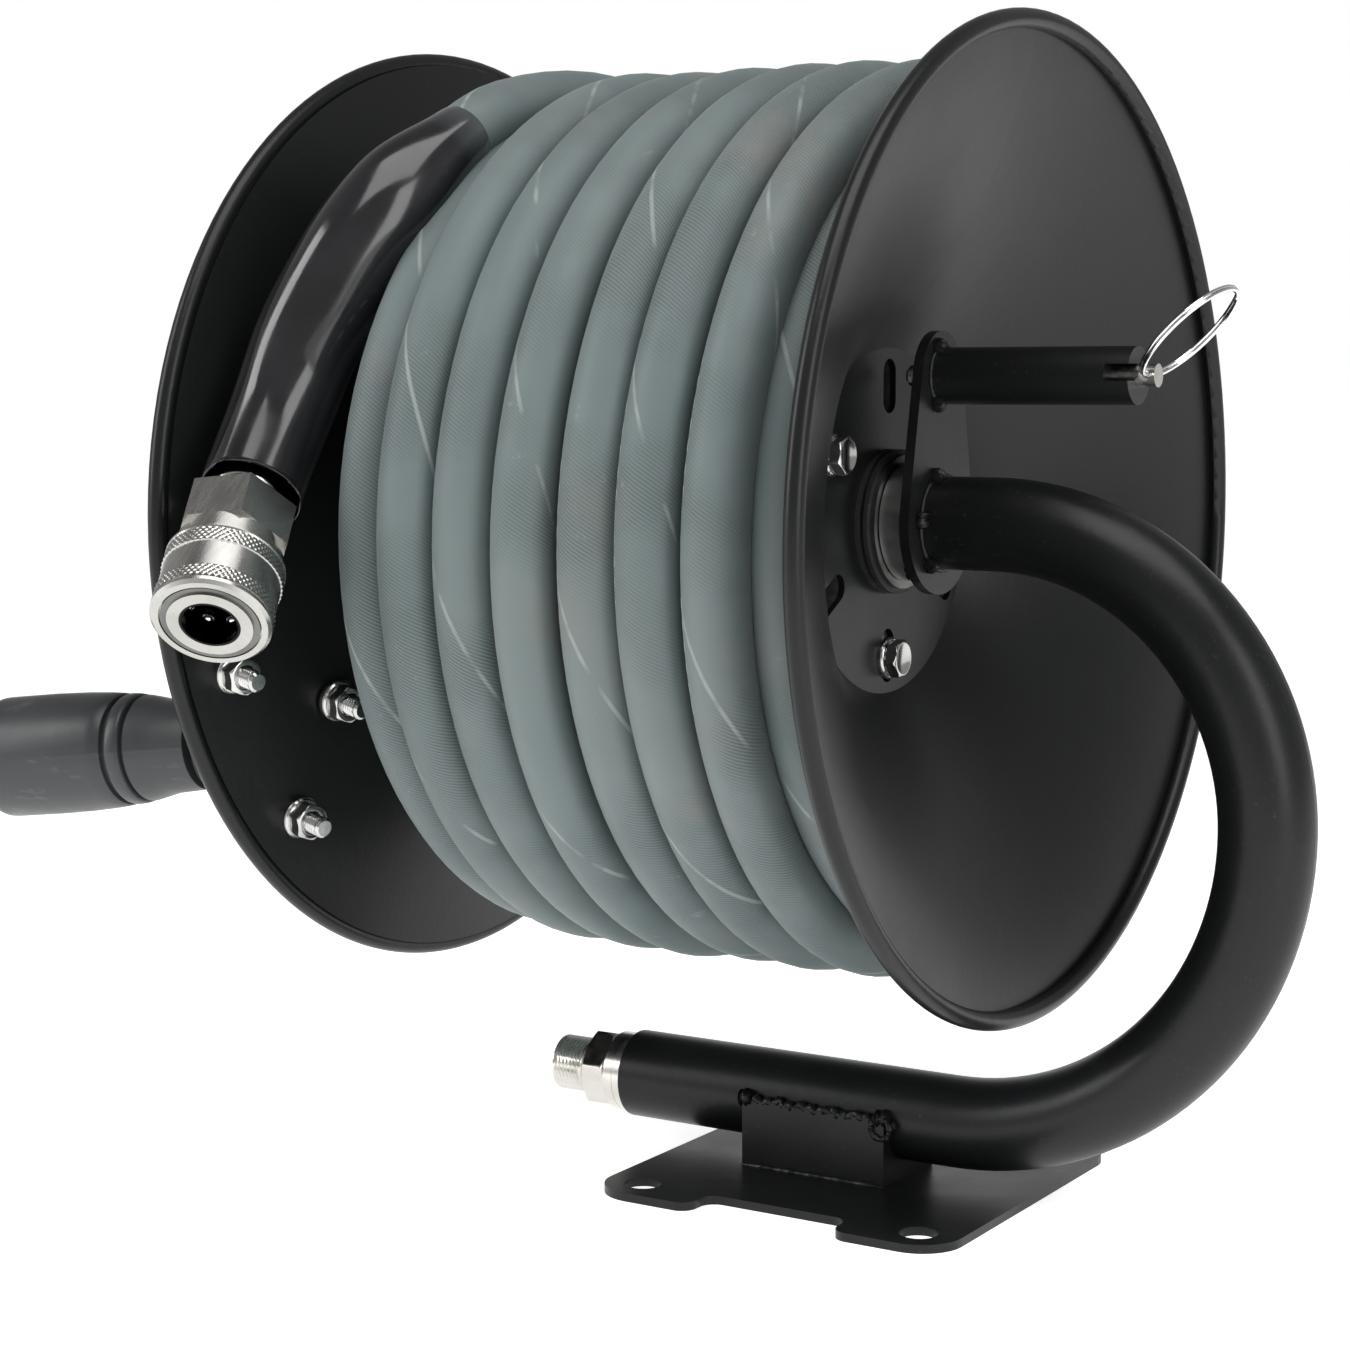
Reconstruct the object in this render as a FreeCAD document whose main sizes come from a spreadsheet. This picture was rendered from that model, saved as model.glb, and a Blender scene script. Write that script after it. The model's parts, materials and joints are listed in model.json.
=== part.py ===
"""Single-arm hose reel: a dished reel on a bent pipe arm that also carries the water.

Every sub-part is modelled in the reel's own axes, millimetres: X along the spin axis towards
the arm, Z up, origin on the spin axis midway between the two rims. Its Placement then stands
it in the part's frame, whose origin is the middle of the base plate's bolt holes, on the
plate's underside.
"""
import FreeCAD
import Part

import math
import os

import Sketcher
from FreeCAD import Placement, Rotation, Vector

# Driving dimensions in millimetres and degrees, written to the sheet.
DIMENSIONS = {
    # where the reel stands in the part's frame
    "reel_x": -45.3, "axis_height": 195.5,
    # flanges: flat hub, dished sheet, rolled rim
    "rim_radius": 142.0, "rim_station": 101.0, "bead_radius": 2.75,
    "sheet": 1.8, "hub_flat_radius": 50.0, "hub_flat_station": 54.0,
    "dish_radius": 138.0, "dish_station": 99.5, "dish_arc": 190.9, "flange_bore": 16.0,
    # lock slots and hub bolts
    "slot_inner": 31.2, "slot_outer": 46.9, "slot_width": 7.7,
    "bolt_circle": 39.8, "bolt_radius": 3.0, "bolt_flange_radius": 6.2, "bolt_hex": 10.0,
    "bolt_flange_height": 1.4, "bolt_head_height": 5.4, "bolt_length": 10.0,
    # hub housing, plain bearing and plug
    "housing_radius": 20.0, "housing_bore": 16.0, "housing_station": 52.0,
    "hub_plate_radius": 48.0, "hub_plate": 4.0, "running_gap": 0.05,
    "bush_start": -19.7, "bush_end": 53.7, "seal_start": -32.6, "seal_end": -20.0,
    "ring_radius": 20.9, "ring_end": 58.0, "ring_groove_radius": 19.4,
    "ring_groove_start": 55.3, "ring_groove_end": 56.7, "ring_bore": 12.85,
    "face_ring_radius": 19.3, "face_ring_end": 59.5,
    "plug_flange_radius": 20.0, "plug_flange": 3.0, "plug_hex": 24.0, "plug_hex_height": 8.0,
    "plug_depth": 7.0,
    # fixed spindle through the hub
    "stem_radius": 12.5, "stem_start": -40.0, "stem_bore": 5.0, "boss_start": 59.8,
    "boss_radius": 17.0, "spigot_end": 86.0, "clip_groove_radius": 11.5,
    "clip_start": -36.7, "clip_end": -35.3, "clip_radius": 14.5,
    "thrust_end": -33.1, "thrust_radius": 15.6,
    # drum under the hose and the outlet that feeds it
    "drum_radius": 79.5, "drum_sheet": 1.5, "drum_station": 73.0,
    "outlet_station": -40.0, "outlet_radius": 6.5, "outlet_bore": 4.0, "outlet_exit": 45.0,
    "outlet_run_radius": 58.0,
    # pipe arm
    "pipe_radius": 13.35, "pipe_wall": 3.9, "bend_start": 88.2, "upper_bend": 82.0,
    "lower_bend": 92.5, "arm_drop": 174.5, "arm_end": -31.5,
    # lock bracket and barrel
    "bracket_start": 68.0, "bracket_thickness": 3.0, "low_lobe": 20.6, "high_lobe": 12.8,
    "lock_height": 41.9, "barrel_radius": 8.1, "barrel_end": 130.6, "barrel_bore": 6.0,
    "guide_start": 118.0, "guide_bore": 3.3, "notch_depth": 7.0, "notch_low": 1.4,
    "notch_high": 3.2, "weld_leg": 2.6,
    # lock pin, its spring and the split ring
    "pin_radius": 3.25, "pin_tip": 60.4, "pin_end": 136.4, "pin_collar_radius": 5.7,
    "pin_collar_start": 95.0, "pin_collar": 3.0, "cross_hole_station": 133.4,
    "cross_hole_radius": 1.6, "lock_wire": 0.5, "lock_coil_radius": 4.6, "lock_turns": 6.0,
    "split_ring_radius": 16.5, "split_ring_wire": 1.0, "split_ring_tilt": 45.0,
    # inlet fitting at the foot of the arm
    "inlet_thread_radius": 8.55, "inlet_start": -60.0, "inlet_hex_start": -46.6,
    "inlet_hex_end": -37.8, "inlet_hex": 22.0, "inlet_ring_radius": 12.25,
    "inlet_ring": 3.1, "inlet_neck_radius": 10.6, "inlet_bore": 5.0, "inlet_depth": 22.0,
    # base plate
    "plate_length": 114.5, "plate_width": 119.4, "plate_thickness": 2.5,
    "hole_spacing_x": 90.0, "hole_spacing_y": 97.0, "hole_radius": 5.5,
    "corner_round": 13.0, "waist_depth": 11.8, "waist_half": 23.0, "waist_round": 4.9,
    # saddle that holds the pipe on the plate
    "saddle_start": 14.6, "saddle_end": 62.2, "saddle_wall": 2.5, "saddle_top": -173.2,
    # crank on the left flange
    "crank_mount_radius": 119.7, "crank_angle": 32.0, "crank_sheet_slope": 17.6,
    "crank_lean": 11.5, "crank_station": -99.2, "crank_plate": 3.0,
    "crank_bolt_side": 26.7, "crank_bolt_in": 25.0, "crank_tab_radius": 9.5,
    "crank_boss_radius": 13.5, "crank_boss_length": 14.0, "stud_radius": 3.0,
    "stud_tip": 6.0, "nut_hex": 10.0, "nut_height": 5.6, "washer_radius": 6.2,
    "washer_thickness": 1.4,
    # grip: stations run along its own axis from the crank plate
    "grip_start": 16.4, "grip_neck_radius": 13.4, "grip_waist": 27.0, "groove_one": 35.6,
    "groove_two": 41.8, "groove_width": 1.5, "groove_depth": 1.6, "grip_shoulder_radius": 16.6,
    "grip_end": 87.5, "grip_end_radius": 18.0, "grip_bore": 6.0, "grip_pin_radius": 5.95,
    "grip_cap_depth": 8.0, "grip_cap_radius": 9.0,
    # hose as wound
    "hose_radius": 8.9, "coil_radius": 131.0, "coil_left": -67.5, "coil_right": 87.5,
    # sleeve over the loose end of the hose
    "sleeve_radius": 12.6, "sleeve_mouth_radius": 14.8,
    # quick coupler: stations run back from its open face
    "coupler_hex_start": 28.0, "coupler_hex_end": 42.0, "coupler_hex": 28.4,
    "coupler_body_radius": 11.6, "coupler_bore": 7.6, "coupler_well": 8.2,
    "coupler_land": 7.0, "coupler_way": 4.2, "coupler_shoulder": 18.0,
    "coupler_shoulder_radius": 14.45, "coupler_snap_radius": 13.4,
    "snap_start": 0.6, "snap_end": 1.7, "snap_groove": 0.6,
    "collar_start": 0.5, "collar_end": 22.0, "collar_radius": 16.5, "collar_land": 2.0,
    "collar_chamber": 7.0, "collar_travel": 5.0, "ball_radius": 2.2, "ball_circle": 9.1,
    "ball_station": 10.0, "ball_count": 8.0, "seal_station": 16.0, "seal_wire": 1.2,
    "ferrule_hex": 20.0, "ferrule_end": 47.0,
    "coupler_wire": 0.7, "coupler_turns": 3.75,
}

# Slots with a hub bolt and slots left free for the lock pin, counted from the front (-Y)
# towards the top.
BOLT_ANGLES = (30.0, 150.0, 270.0)
FREE_ANGLES = (90.0, 210.0, 330.0)

# Middle of the open face of the coupler, and the way it points.
COUPLER_FACE = Vector(-62.9, -161.7, -23.6)
COUPLER_AXIS = Vector(0.31, -0.67, -0.674).normalize()

# The loose hose from the last turn of the winding to the coupler, points chosen by hand.
TAIL_ROUTE = (
    Vector(-46.4, -50.6, 119.2),
    Vector(-49.2, -70.6, 108.2),
    Vector(-55.9, -87.0, 93.2),
    Vector(-65.2, -98.6, 75.0),
    Vector(-74.2, -106.6, 54.6),
    Vector(-79.5, -113.6, 32.0),
    COUPLER_FACE - COUPLER_AXIS * 50.0,
)
SLEEVE_FIRST_RUN = 1
ARC_SHARE = 0.45
FACE_GAP = 0.3

ALONG_X = Rotation(Vector(0, 1, 0), 90)
X_AXIS = Vector(1, 0, 0)

doc = FreeCAD.newDocument("HoseReel")
sheet = doc.addObject("Spreadsheet::Sheet", "Size")
PARTS = {}


class Length:
    """A number together with the sheet formula that gives it."""

    def __init__(self, number, text):
        self.number = number
        self.text = text

    def joined(self, sign, other, number):
        return Length(number, "(%s %s %s)" % (self.text, sign, text_of(other)))

    def __add__(self, other):
        return self.joined("+", other, self.number + number_of(other))

    def __sub__(self, other):
        return self.joined("-", other, self.number - number_of(other))

    def __mul__(self, other):
        return self.joined("*", other, self.number * number_of(other))

    def __truediv__(self, other):
        return self.joined("/", other, self.number / number_of(other))

    def __neg__(self):
        return Length(-self.number, "(0 - %s)" % self.text)


def number_of(size):
    """Plain number of a Length or of a number."""
    return size.number if isinstance(size, Length) else float(size)


def text_of(size):
    """Formula of a Length or of a number."""
    return size.text if isinstance(size, Length) else repr(float(size))


def fill_sheet():
    """Write the driving dimensions and return them as lengths bound to their cells."""
    lengths = {}
    for row, (alias, number) in enumerate(DIMENSIONS.items(), start=1):
        sheet.set("A%d" % row, alias)
        sheet.set("B%d" % row, repr(number))
        sheet.setAlias("B%d" % row, alias)
    doc.recompute()
    for alias in DIMENSIONS:
        lengths[alias] = Length(float(sheet.get(alias)), "Size." + alias)
    return lengths


SIZE = fill_sheet()


def size(alias):
    """Length of one cell of the sheet."""
    return SIZE[alias]


def num(alias):
    """Number of one cell of the sheet."""
    return SIZE[alias].number


def bind(obj, prop, length):
    """Tie a property of an object to the sheet."""
    obj.setExpression(prop, text_of(length))


def move(obj, x, y, z, rotation=None):
    """Place a helper shape in the reel's axes, its offsets tied to the sheet."""
    spot = Vector(number_of(x), number_of(y), number_of(z))
    obj.Placement = Placement(spot, rotation or Rotation())
    for axis, offset in zip("xyz", (x, y, z)):
        if isinstance(offset, Length):
            bind(obj, "Placement.Base." + axis, offset)
    return obj


def finish(label, obj, pose=None):
    """Name a sub-part and stand it in the part's frame."""
    obj.Label = label
    pose = pose or Placement()
    spot = pose.Base + Vector(num("reel_x"), 0, num("axis_height"))
    obj.Placement = Placement(spot, pose.Rotation)
    bind(obj, "Placement.Base.x", size("reel_x") + pose.Base.x)
    bind(obj, "Placement.Base.z", size("axis_height") + pose.Base.z)
    PARTS[label] = obj
    return obj


def cylinder(name, radius, start, end, rotation=ALONG_X, centre=(0.0, 0.0)):
    """Round bar along X from one station to another, its axis at (y, z)."""
    bar = doc.addObject("Part::Cylinder", name)
    bind(bar, "Radius", radius)
    bind(bar, "Height", end - start if isinstance(end, Length) else -(start - end))
    return move(bar, start, centre[0], centre[1], rotation)


def hexagon(name, across_flats, start, end, turn=0.0):
    """Hexagonal bar along X."""
    bar = doc.addObject("Part::Prism", name)
    bar.Polygon = 6
    bind(bar, "Circumradius", across_flats / (2.0 * math.cos(math.pi / 6)))
    bind(bar, "Height", end - start)
    return move(bar, start, 0.0, 0.0, ALONG_X * Rotation(Vector(0, 0, 1), turn))


def box(name, x, y, z):
    """Box given by its (low, high) along each axis."""
    block = doc.addObject("Part::Box", name)
    for prop, (low, high) in zip(("Length", "Width", "Height"), (x, y, z)):
        bind(block, prop, -(Length(number_of(low), text_of(low)) - high))
    return move(block, x[0], y[0], z[0])


def fused(name, pieces):
    """Several helper shapes as one."""
    whole = doc.addObject("Part::MultiFuse", name)
    whole.Shapes = pieces
    return whole


def less(name, base, tool):
    """One helper shape with another taken away."""
    rest = doc.addObject("Part::Cut", name)
    rest.Base = base
    rest.Tool = tool
    return rest


def grouped(name, pieces):
    """Separate identical or matching solids kept together in one sub-part."""
    group = doc.addObject("Part::Compound", name)
    group.Links = pieces
    return group


def shaped(name, shape):
    """A sub-part whose shape is worked out from the sheet's numbers."""
    piece = doc.addObject("Part::Feature", name)
    piece.Shape = shape
    return piece


def new_sketch(body, name, plane):
    """Sketch on one of the body's own origin planes."""
    sketch = body.newObject("Sketcher::SketchObject", name)
    wanted = [item for item in body.Origin.OriginFeatures if item.Role == plane]
    sketch.AttachmentSupport = [(wanted[0], "")]
    sketch.MapMode = "FlatFace"
    return sketch


def hold_point(sketch, line, across, up):
    """Fix the start of a line at (across, up), each tied to the sheet."""
    for kind, along, axis in (("DistanceX", across, -2), ("DistanceY", up, -1)):
        if abs(number_of(along)) < 1e-9:
            sketch.addConstraint(Sketcher.Constraint("PointOnObject", line, 1, axis))
            continue
        rule = Sketcher.Constraint(kind, -1, 1, line, 1, number_of(along))
        index = sketch.addConstraint(rule)
        sketch.setExpression("Constraints[%d]" % index, text_of(along))


def draw_loop(sketch, corners):
    """Closed outline of straight lines through corners of (across, up)."""
    spots = [Vector(number_of(across), number_of(up), 0) for across, up in corners]
    first = sketch.GeometryCount
    count = len(spots)
    for index in range(count):
        sketch.addGeometry(Part.LineSegment(spots[index], spots[(index + 1) % count]))
    for index in range(count):
        after = first + (index + 1) % count
        sketch.addConstraint(Sketcher.Constraint("Coincident", first + index, 2, after, 1))
    for index, (across, up) in enumerate(corners):
        hold_point(sketch, first + index, across, up)


def draw_circle(sketch, across, up, radius):
    """Circle at (across, up)."""
    spot = Vector(number_of(across), number_of(up), 0)
    line = sketch.addGeometry(Part.Circle(spot, Vector(0, 0, 1), number_of(radius)))
    index = sketch.addConstraint(Sketcher.Constraint("Radius", line, number_of(radius)))
    sketch.setExpression("Constraints[%d]" % index, text_of(radius))
    for kind, along, axis in (("DistanceX", across, -2), ("DistanceY", up, -1)):
        if abs(number_of(along)) < 1e-9:
            sketch.addConstraint(Sketcher.Constraint("PointOnObject", line, 3, axis))
            continue
        rule = Sketcher.Constraint(kind, -1, 1, line, 3, number_of(along))
        index = sketch.addConstraint(rule)
        sketch.setExpression("Constraints[%d]" % index, text_of(along))


def turned(name, outline):
    """Body turned about X from a closed outline of (station, radius)."""
    body = doc.addObject("PartDesign::Body", name)
    sketch = new_sketch(body, name + "_outline", "XZ_Plane")
    draw_loop(sketch, outline)
    turn = body.newObject("PartDesign::Revolution", name + "_turned")
    turn.Profile = sketch
    turn.ReferenceAxis = (sketch, ["H_Axis"])
    turn.Angle = 360.0
    return body


def turned_ring(name, inner, outer, start, end):
    """Plain ring about X."""
    return turned(name, [(start, inner), (end, inner), (end, outer), (start, outer)])


def radial(radius, degrees):
    """Point (y, z) at a radius and an angle from the front towards the top."""
    angle = math.radians(degrees)
    return -radius * math.cos(angle), radius * math.sin(angle)


def rounded_slot(degrees, start, end):
    """Cutter for one radial slot with round ends, between two stations."""
    half = num("slot_width") / 2
    inner = num("slot_inner") + half
    outer = num("slot_outer") - half
    deep = end - start
    middle = Part.makeBox(deep, outer - inner, 2 * half, Vector(start, inner, -half))
    rounds = [Part.makeCylinder(half, deep, Vector(start, reach, 0), X_AXIS)
              for reach in (inner, outer)]
    slot = middle.fuse(rounds).removeSplitter()
    slot.rotate(Vector(0, 0, 0), X_AXIS, 180 - degrees)
    return slot


def dish_arc(offset):
    """Dish line as an arc of (station, radius), moved towards the drum by offset."""
    low = Vector(num("hub_flat_station"), 0, num("hub_flat_radius"))
    high = Vector(num("dish_station"), 0, num("dish_radius"))
    middle = (low + high) * 0.5
    chord = high - low
    normal = Vector(-chord.z, 0, chord.x).normalize()
    reach = math.sqrt(num("dish_arc") ** 2 - (chord.Length / 2) ** 2)
    centre = middle + normal * reach
    radius = num("dish_arc") - offset
    spots = []
    for point in (low, middle, high):
        spots.append(centre + (point - centre).normalize() * radius)
    return spots


def tangent_path(points, first=0):
    """Straight runs joined by tangent arcs, each as large as its two runs allow."""
    corners = []
    radii = []
    for index in range(1, len(points) - 1):
        before = points[index] - points[index - 1]
        after = points[index + 1] - points[index]
        turn = before.getAngle(after)
        reach = ARC_SHARE * min(before.Length, after.Length)
        start = points[index] - before.normalize() * reach
        end = points[index] + after.normalize() * reach
        radius = reach / math.tan(turn / 2)
        inward = (start + end) * 0.5 - points[index]
        depth = radius / math.cos(turn / 2) - radius
        corners.append((start, points[index] + inward.normalize() * depth, end))
        radii.append(radius)
    edges = []
    at = points[0]
    for start, middle, end in corners:
        edges.append(Part.LineSegment(at, start).toShape())
        edges.append(Part.Arc(start, middle, end).toShape())
        at = end
    edges.append(Part.LineSegment(at, points[-1]).toShape())
    return edges[first:], radii


def swept_round(edges, radius):
    """Round bar along a path of edges."""
    path = Part.Wire(edges)
    start = edges[0].firstVertex(True).Point
    way = edges[0].tangentAt(edges[0].FirstParameter)
    ring = Part.Wire(Part.Circle(start, way, radius).toShape())
    return path.makePipe(Part.Face(ring))


# ---------------------------------------------------------------- frame that stands still

def base_plate():
    """Sheet plate with four bolt holes and a waist cut in its front and back edges."""
    body = doc.addObject("PartDesign::Body", "base_plate")
    half_x = size("plate_length") / 2.0
    half_y = size("plate_width") / 2.0
    waist_y = half_y - size("waist_depth")
    waist_x = size("waist_half")
    outline = [
        (-half_x, -half_y), (-waist_x, -half_y), (-waist_x, -waist_y), (waist_x, -waist_y),
        (waist_x, -half_y), (half_x, -half_y), (half_x, half_y), (waist_x, half_y),
        (waist_x, waist_y), (-waist_x, waist_y), (-waist_x, half_y), (-half_x, half_y)]
    sketch = new_sketch(body, "plate_outline", "XY_Plane")
    draw_loop(sketch, outline)
    pad = body.newObject("PartDesign::Pad", "plate_pad")
    pad.Profile = sketch
    bind(pad, "Length", size("plate_thickness"))
    doc.recompute()
    uprights = {"corner": [], "waist": []}
    for number, edge in enumerate(pad.Shape.Edges, start=1):
        low, high = edge.BoundBox.ZMin, edge.BoundBox.ZMax
        if high - low < num("plate_thickness") * 0.9:
            continue
        spot = edge.CenterOfMass
        kind = "corner" if abs(spot.x) > num("waist_half") + 5.0 else "waist"
        uprights[kind].append("Edge%d" % number)
    rounds = body.newObject("PartDesign::Fillet", "waist_rounds")
    rounds.Base = (pad, uprights["waist"])
    bind(rounds, "Radius", size("waist_round"))
    doc.recompute()
    corners = []
    for number, edge in enumerate(rounds.Shape.Edges, start=1):
        tall = edge.BoundBox.ZMax - edge.BoundBox.ZMin > num("plate_thickness") * 0.9
        if tall and abs(edge.CenterOfMass.x) > num("plate_length") / 2 - 0.5:
            corners.append("Edge%d" % number)
    lobes = body.newObject("PartDesign::Fillet", "corner_rounds")
    lobes.Base = (rounds, corners)
    bind(lobes, "Radius", size("corner_round"))
    holes = new_sketch(body, "plate_holes", "XY_Plane")
    for side_x in (-0.5, 0.5):
        for side_y in (-0.5, 0.5):
            across = size("hole_spacing_x") * side_x
            draw_circle(holes, across, size("hole_spacing_y") * side_y, size("hole_radius"))
    cut = body.newObject("PartDesign::Pocket", "plate_bores")
    cut.Profile = holes
    cut.Type = "ThroughAll"
    cut.Midplane = True
    body.Tip = cut
    finish("base_plate", body)
    body.setExpression("Placement.Base.x", None)
    body.setExpression("Placement.Base.z", None)
    body.Placement = Placement()


def plate_top():
    """Level of the base plate's upper face in the reel's axes."""
    return size("plate_thickness") - size("axis_height")


def pipe_level():
    """Level of the pipe's centre line where it lies on the saddle."""
    return -size("arm_drop")


def saddle_blank(name):
    """U-shaped saddle that seats the pipe on the plate."""
    half = size("pipe_radius") + size("saddle_wall")
    block = box(name + "_block", (size("saddle_start"), size("saddle_end")), (-half, half),
                (plate_top(), size("saddle_top")))
    seat = cylinder(name + "_seat", size("pipe_radius"), size("saddle_start") - 1.0,
                    size("saddle_end") + 1.0, centre=(0.0, pipe_level()))
    mouth = box(name + "_mouth", (size("saddle_start") - 1.0, size("saddle_end") + 1.0),
                (-size("pipe_radius"), size("pipe_radius")),
                (pipe_level(), size("saddle_top") + 1.0))
    return less(name, block, fused(name + "_hollow", [seat, mouth]))


def saddle():
    """Saddle welded to the plate."""
    finish("saddle", saddle_blank("saddle_u"))


def saddle_welds():
    """Weld beads: along both top edges, along the foot and across both ends."""
    half = size("pipe_radius") + size("saddle_wall")
    leg = size("weld_leg")
    beads = []
    for side, label in ((-1.0, "front"), (1.0, "back")):
        top = cylinder("top_bead_" + label, leg, size("saddle_start"), size("saddle_end"),
                       centre=(half * side * 0.93, size("saddle_top")))
        foot = cylinder("foot_bead_" + label, leg, size("saddle_start"), size("saddle_end"),
                        centre=(half * side, plate_top()))
        beads += [top, foot]
    for station, label in ((size("saddle_start"), "left"), (size("saddle_end"), "right")):
        end = doc.addObject("Part::Cylinder", "end_bead_" + label)
        bind(end, "Radius", leg)
        bind(end, "Height", half * 2.0)
        beads.append(move(end, station, -half, plate_top(), Rotation(Vector(1, 0, 0), -90)))
    keep = cylinder("weld_pipe", size("pipe_radius"), size("saddle_start") - 5.0,
                    size("saddle_end") + 5.0, centre=(0.0, pipe_level()))
    wide = size("plate_width") / 2.0
    floor = box("weld_floor", (size("saddle_start") - 8.0, size("saddle_end") + 8.0),
                (-wide, wide), (plate_top() - 8.0, plate_top()))
    block = box("weld_block", (size("saddle_start"), size("saddle_end")), (-half, half),
                (plate_top(), size("saddle_top")))
    metal = fused("weld_metal", [keep, floor, block])
    finish("saddle_welds", less("saddle_beads", fused("bead_rows", beads), metal))


def arm_pipe():
    """Pipe from the lock bracket, round two bends, to the foot: it carries the water."""
    low = -num("arm_drop")
    start = Vector(num("bracket_start") + num("bracket_thickness"), 0, 0)
    bend = Vector(num("bend_start"), 0, 0)
    upper = num("upper_bend")
    lower = num("lower_bend")
    side = bend + Vector(upper, 0, -upper)
    slant = math.sqrt(0.5)
    foot = Vector(side.x - lower, 0, low)
    upper_mid = bend + Vector(upper * slant, 0, -upper * (1 - slant))
    lower_mid = Vector(side.x - lower * (1 - slant), 0, side.z - lower * slant)
    path = [
        Part.LineSegment(start, bend).toShape(),
        Part.Arc(bend, upper_mid, side).toShape(),
        Part.Arc(side, lower_mid, foot).toShape(),
        Part.LineSegment(foot, Vector(num("arm_end"), 0, low)).toShape()]
    outer = swept_round(path, num("pipe_radius"))
    bore = swept_round(path, num("pipe_radius") - num("pipe_wall"))
    finish("arm_pipe", shaped("arm_tube", outer.cut(bore)))


def inlet_fitting():
    """Threaded inlet screwed into the end of the pipe."""
    seat = size("pipe_radius") - size("pipe_wall")
    thread = cylinder("inlet_thread", size("inlet_thread_radius"), size("inlet_start"),
                      size("inlet_hex_start"))
    nut = hexagon("inlet_nut", size("inlet_hex"), size("inlet_hex_start"),
                  size("inlet_hex_end"))
    neck = cylinder("inlet_neck", seat, size("inlet_hex_end"),
                    size("arm_end") + size("inlet_depth"))
    solid = fused("inlet_solid", [thread, nut, neck])
    bore = cylinder("inlet_bore_bar", size("inlet_bore"), size("inlet_start") - 1.0,
                    size("arm_end") + size("inlet_depth") + 1.0)
    pose = Placement(Vector(0, 0, -num("arm_drop")), Rotation())
    finish("inlet_fitting", less("inlet", solid, bore), pose)


def inlet_rings():
    """Two thin rings between the inlet's hex and the end of the pipe."""
    seat = size("pipe_radius") - size("pipe_wall")
    first = turned_ring("inlet_ring_outer", seat, size("inlet_ring_radius"),
                        size("inlet_hex_end"), size("inlet_hex_end") + size("inlet_ring"))
    second = turned_ring("inlet_ring_inner", seat, size("inlet_ring_radius"),
                         size("arm_end") - size("inlet_ring"), size("arm_end"))
    pose = Placement(Vector(0, 0, -num("arm_drop")), Rotation())
    finish("inlet_rings", grouped("inlet_ring_pair", [first, second]), pose)


def lock_bracket():
    """Teardrop plate welded to the spindle's boss; its top lobe carries the lock barrel."""
    start = num("bracket_start")
    low, high, rise = num("low_lobe"), num("high_lobe"), num("lock_height")
    lean = math.asin((low - high) / rise)
    across, up = math.cos(lean), math.sin(lean)
    low_right = Vector(start, low * across, low * up)
    high_right = Vector(start, high * across, rise + high * up)
    high_left = Vector(start, -high_right.y, high_right.z)
    low_left = Vector(start, -low_right.y, low_right.z)
    wire = Part.Wire([
        Part.LineSegment(low_right, high_right).toShape(),
        Part.Arc(high_right, Vector(start, 0, rise + high), high_left).toShape(),
        Part.LineSegment(high_left, low_left).toShape(),
        Part.Arc(low_left, Vector(start, 0, -low), low_right).toShape()])
    plate = Part.Face(wire).extrude(X_AXIS * num("bracket_thickness"))
    seat = num("pipe_radius") - num("pipe_wall")
    for radius, centre in ((seat, 0.0), (num("guide_bore"), rise)):
        spot = Vector(start - 1, 0, centre)
        plate = plate.cut(Part.makeCylinder(radius, num("bracket_thickness") + 2, spot, X_AXIS))
    finish("lock_bracket", shaped("teardrop", plate))


def weld_ring(name, start, radius, leg, centre):
    """Fillet weld round a bar, from a face at a station outwards along X."""
    cone = doc.addObject("Part::Cone", name + "_cone")
    bind(cone, "Radius1", radius + abs(leg))
    bind(cone, "Radius2", radius + 0.2)
    bind(cone, "Height", abs(leg))
    turn = ALONG_X if leg > 0 else Rotation(Vector(0, 1, 0), -90)
    move(cone, start, 0.0, centre, turn)
    bar = cylinder(name + "_bar", radius, start - 20.0, start + 20.0, centre=(0.0, centre))
    return less(name, cone, bar)


def bracket_welds():
    """Weld rings where the bracket meets the boss, the pipe and the lock barrel."""
    face = size("bracket_start") + size("bracket_thickness")
    leg = num("weld_leg")
    pipe = weld_ring("pipe_weld", face, size("pipe_radius"), leg, 0.0)
    barrel = weld_ring("barrel_weld", face, size("barrel_radius"), leg, size("lock_height"))
    boss = weld_ring("boss_weld", size("bracket_start"), size("boss_radius"), -leg, 0.0)
    finish("bracket_welds", grouped("bracket_beads", [pipe, barrel, boss]))


def lock_barrel():
    """Barrel of the spring lock: a bore for the spring, a guide and two notches."""
    start = size("bracket_start") + size("bracket_thickness")
    tube = cylinder("barrel_bar", size("barrel_radius"), start, size("barrel_end"))
    bore = cylinder("barrel_hollow", size("barrel_bore"), start - 1.0, size("guide_start"))
    guide = cylinder("barrel_guide", size("guide_bore"), start - 1.0,
                     size("barrel_end") + 1.0)
    wide = size("barrel_radius") + 1.0
    notch = box("barrel_notch", (size("barrel_end") - size("notch_depth"),
                                 size("barrel_end") + 1.0),
                (-wide, wide), (-size("notch_low"), size("notch_high")))
    hollow = fused("barrel_hollows", [bore, guide, notch])
    pose = Placement(Vector(0, 0, num("lock_height")), Rotation())
    finish("lock_barrel", less("barrel", tube, hollow), pose)


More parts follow.
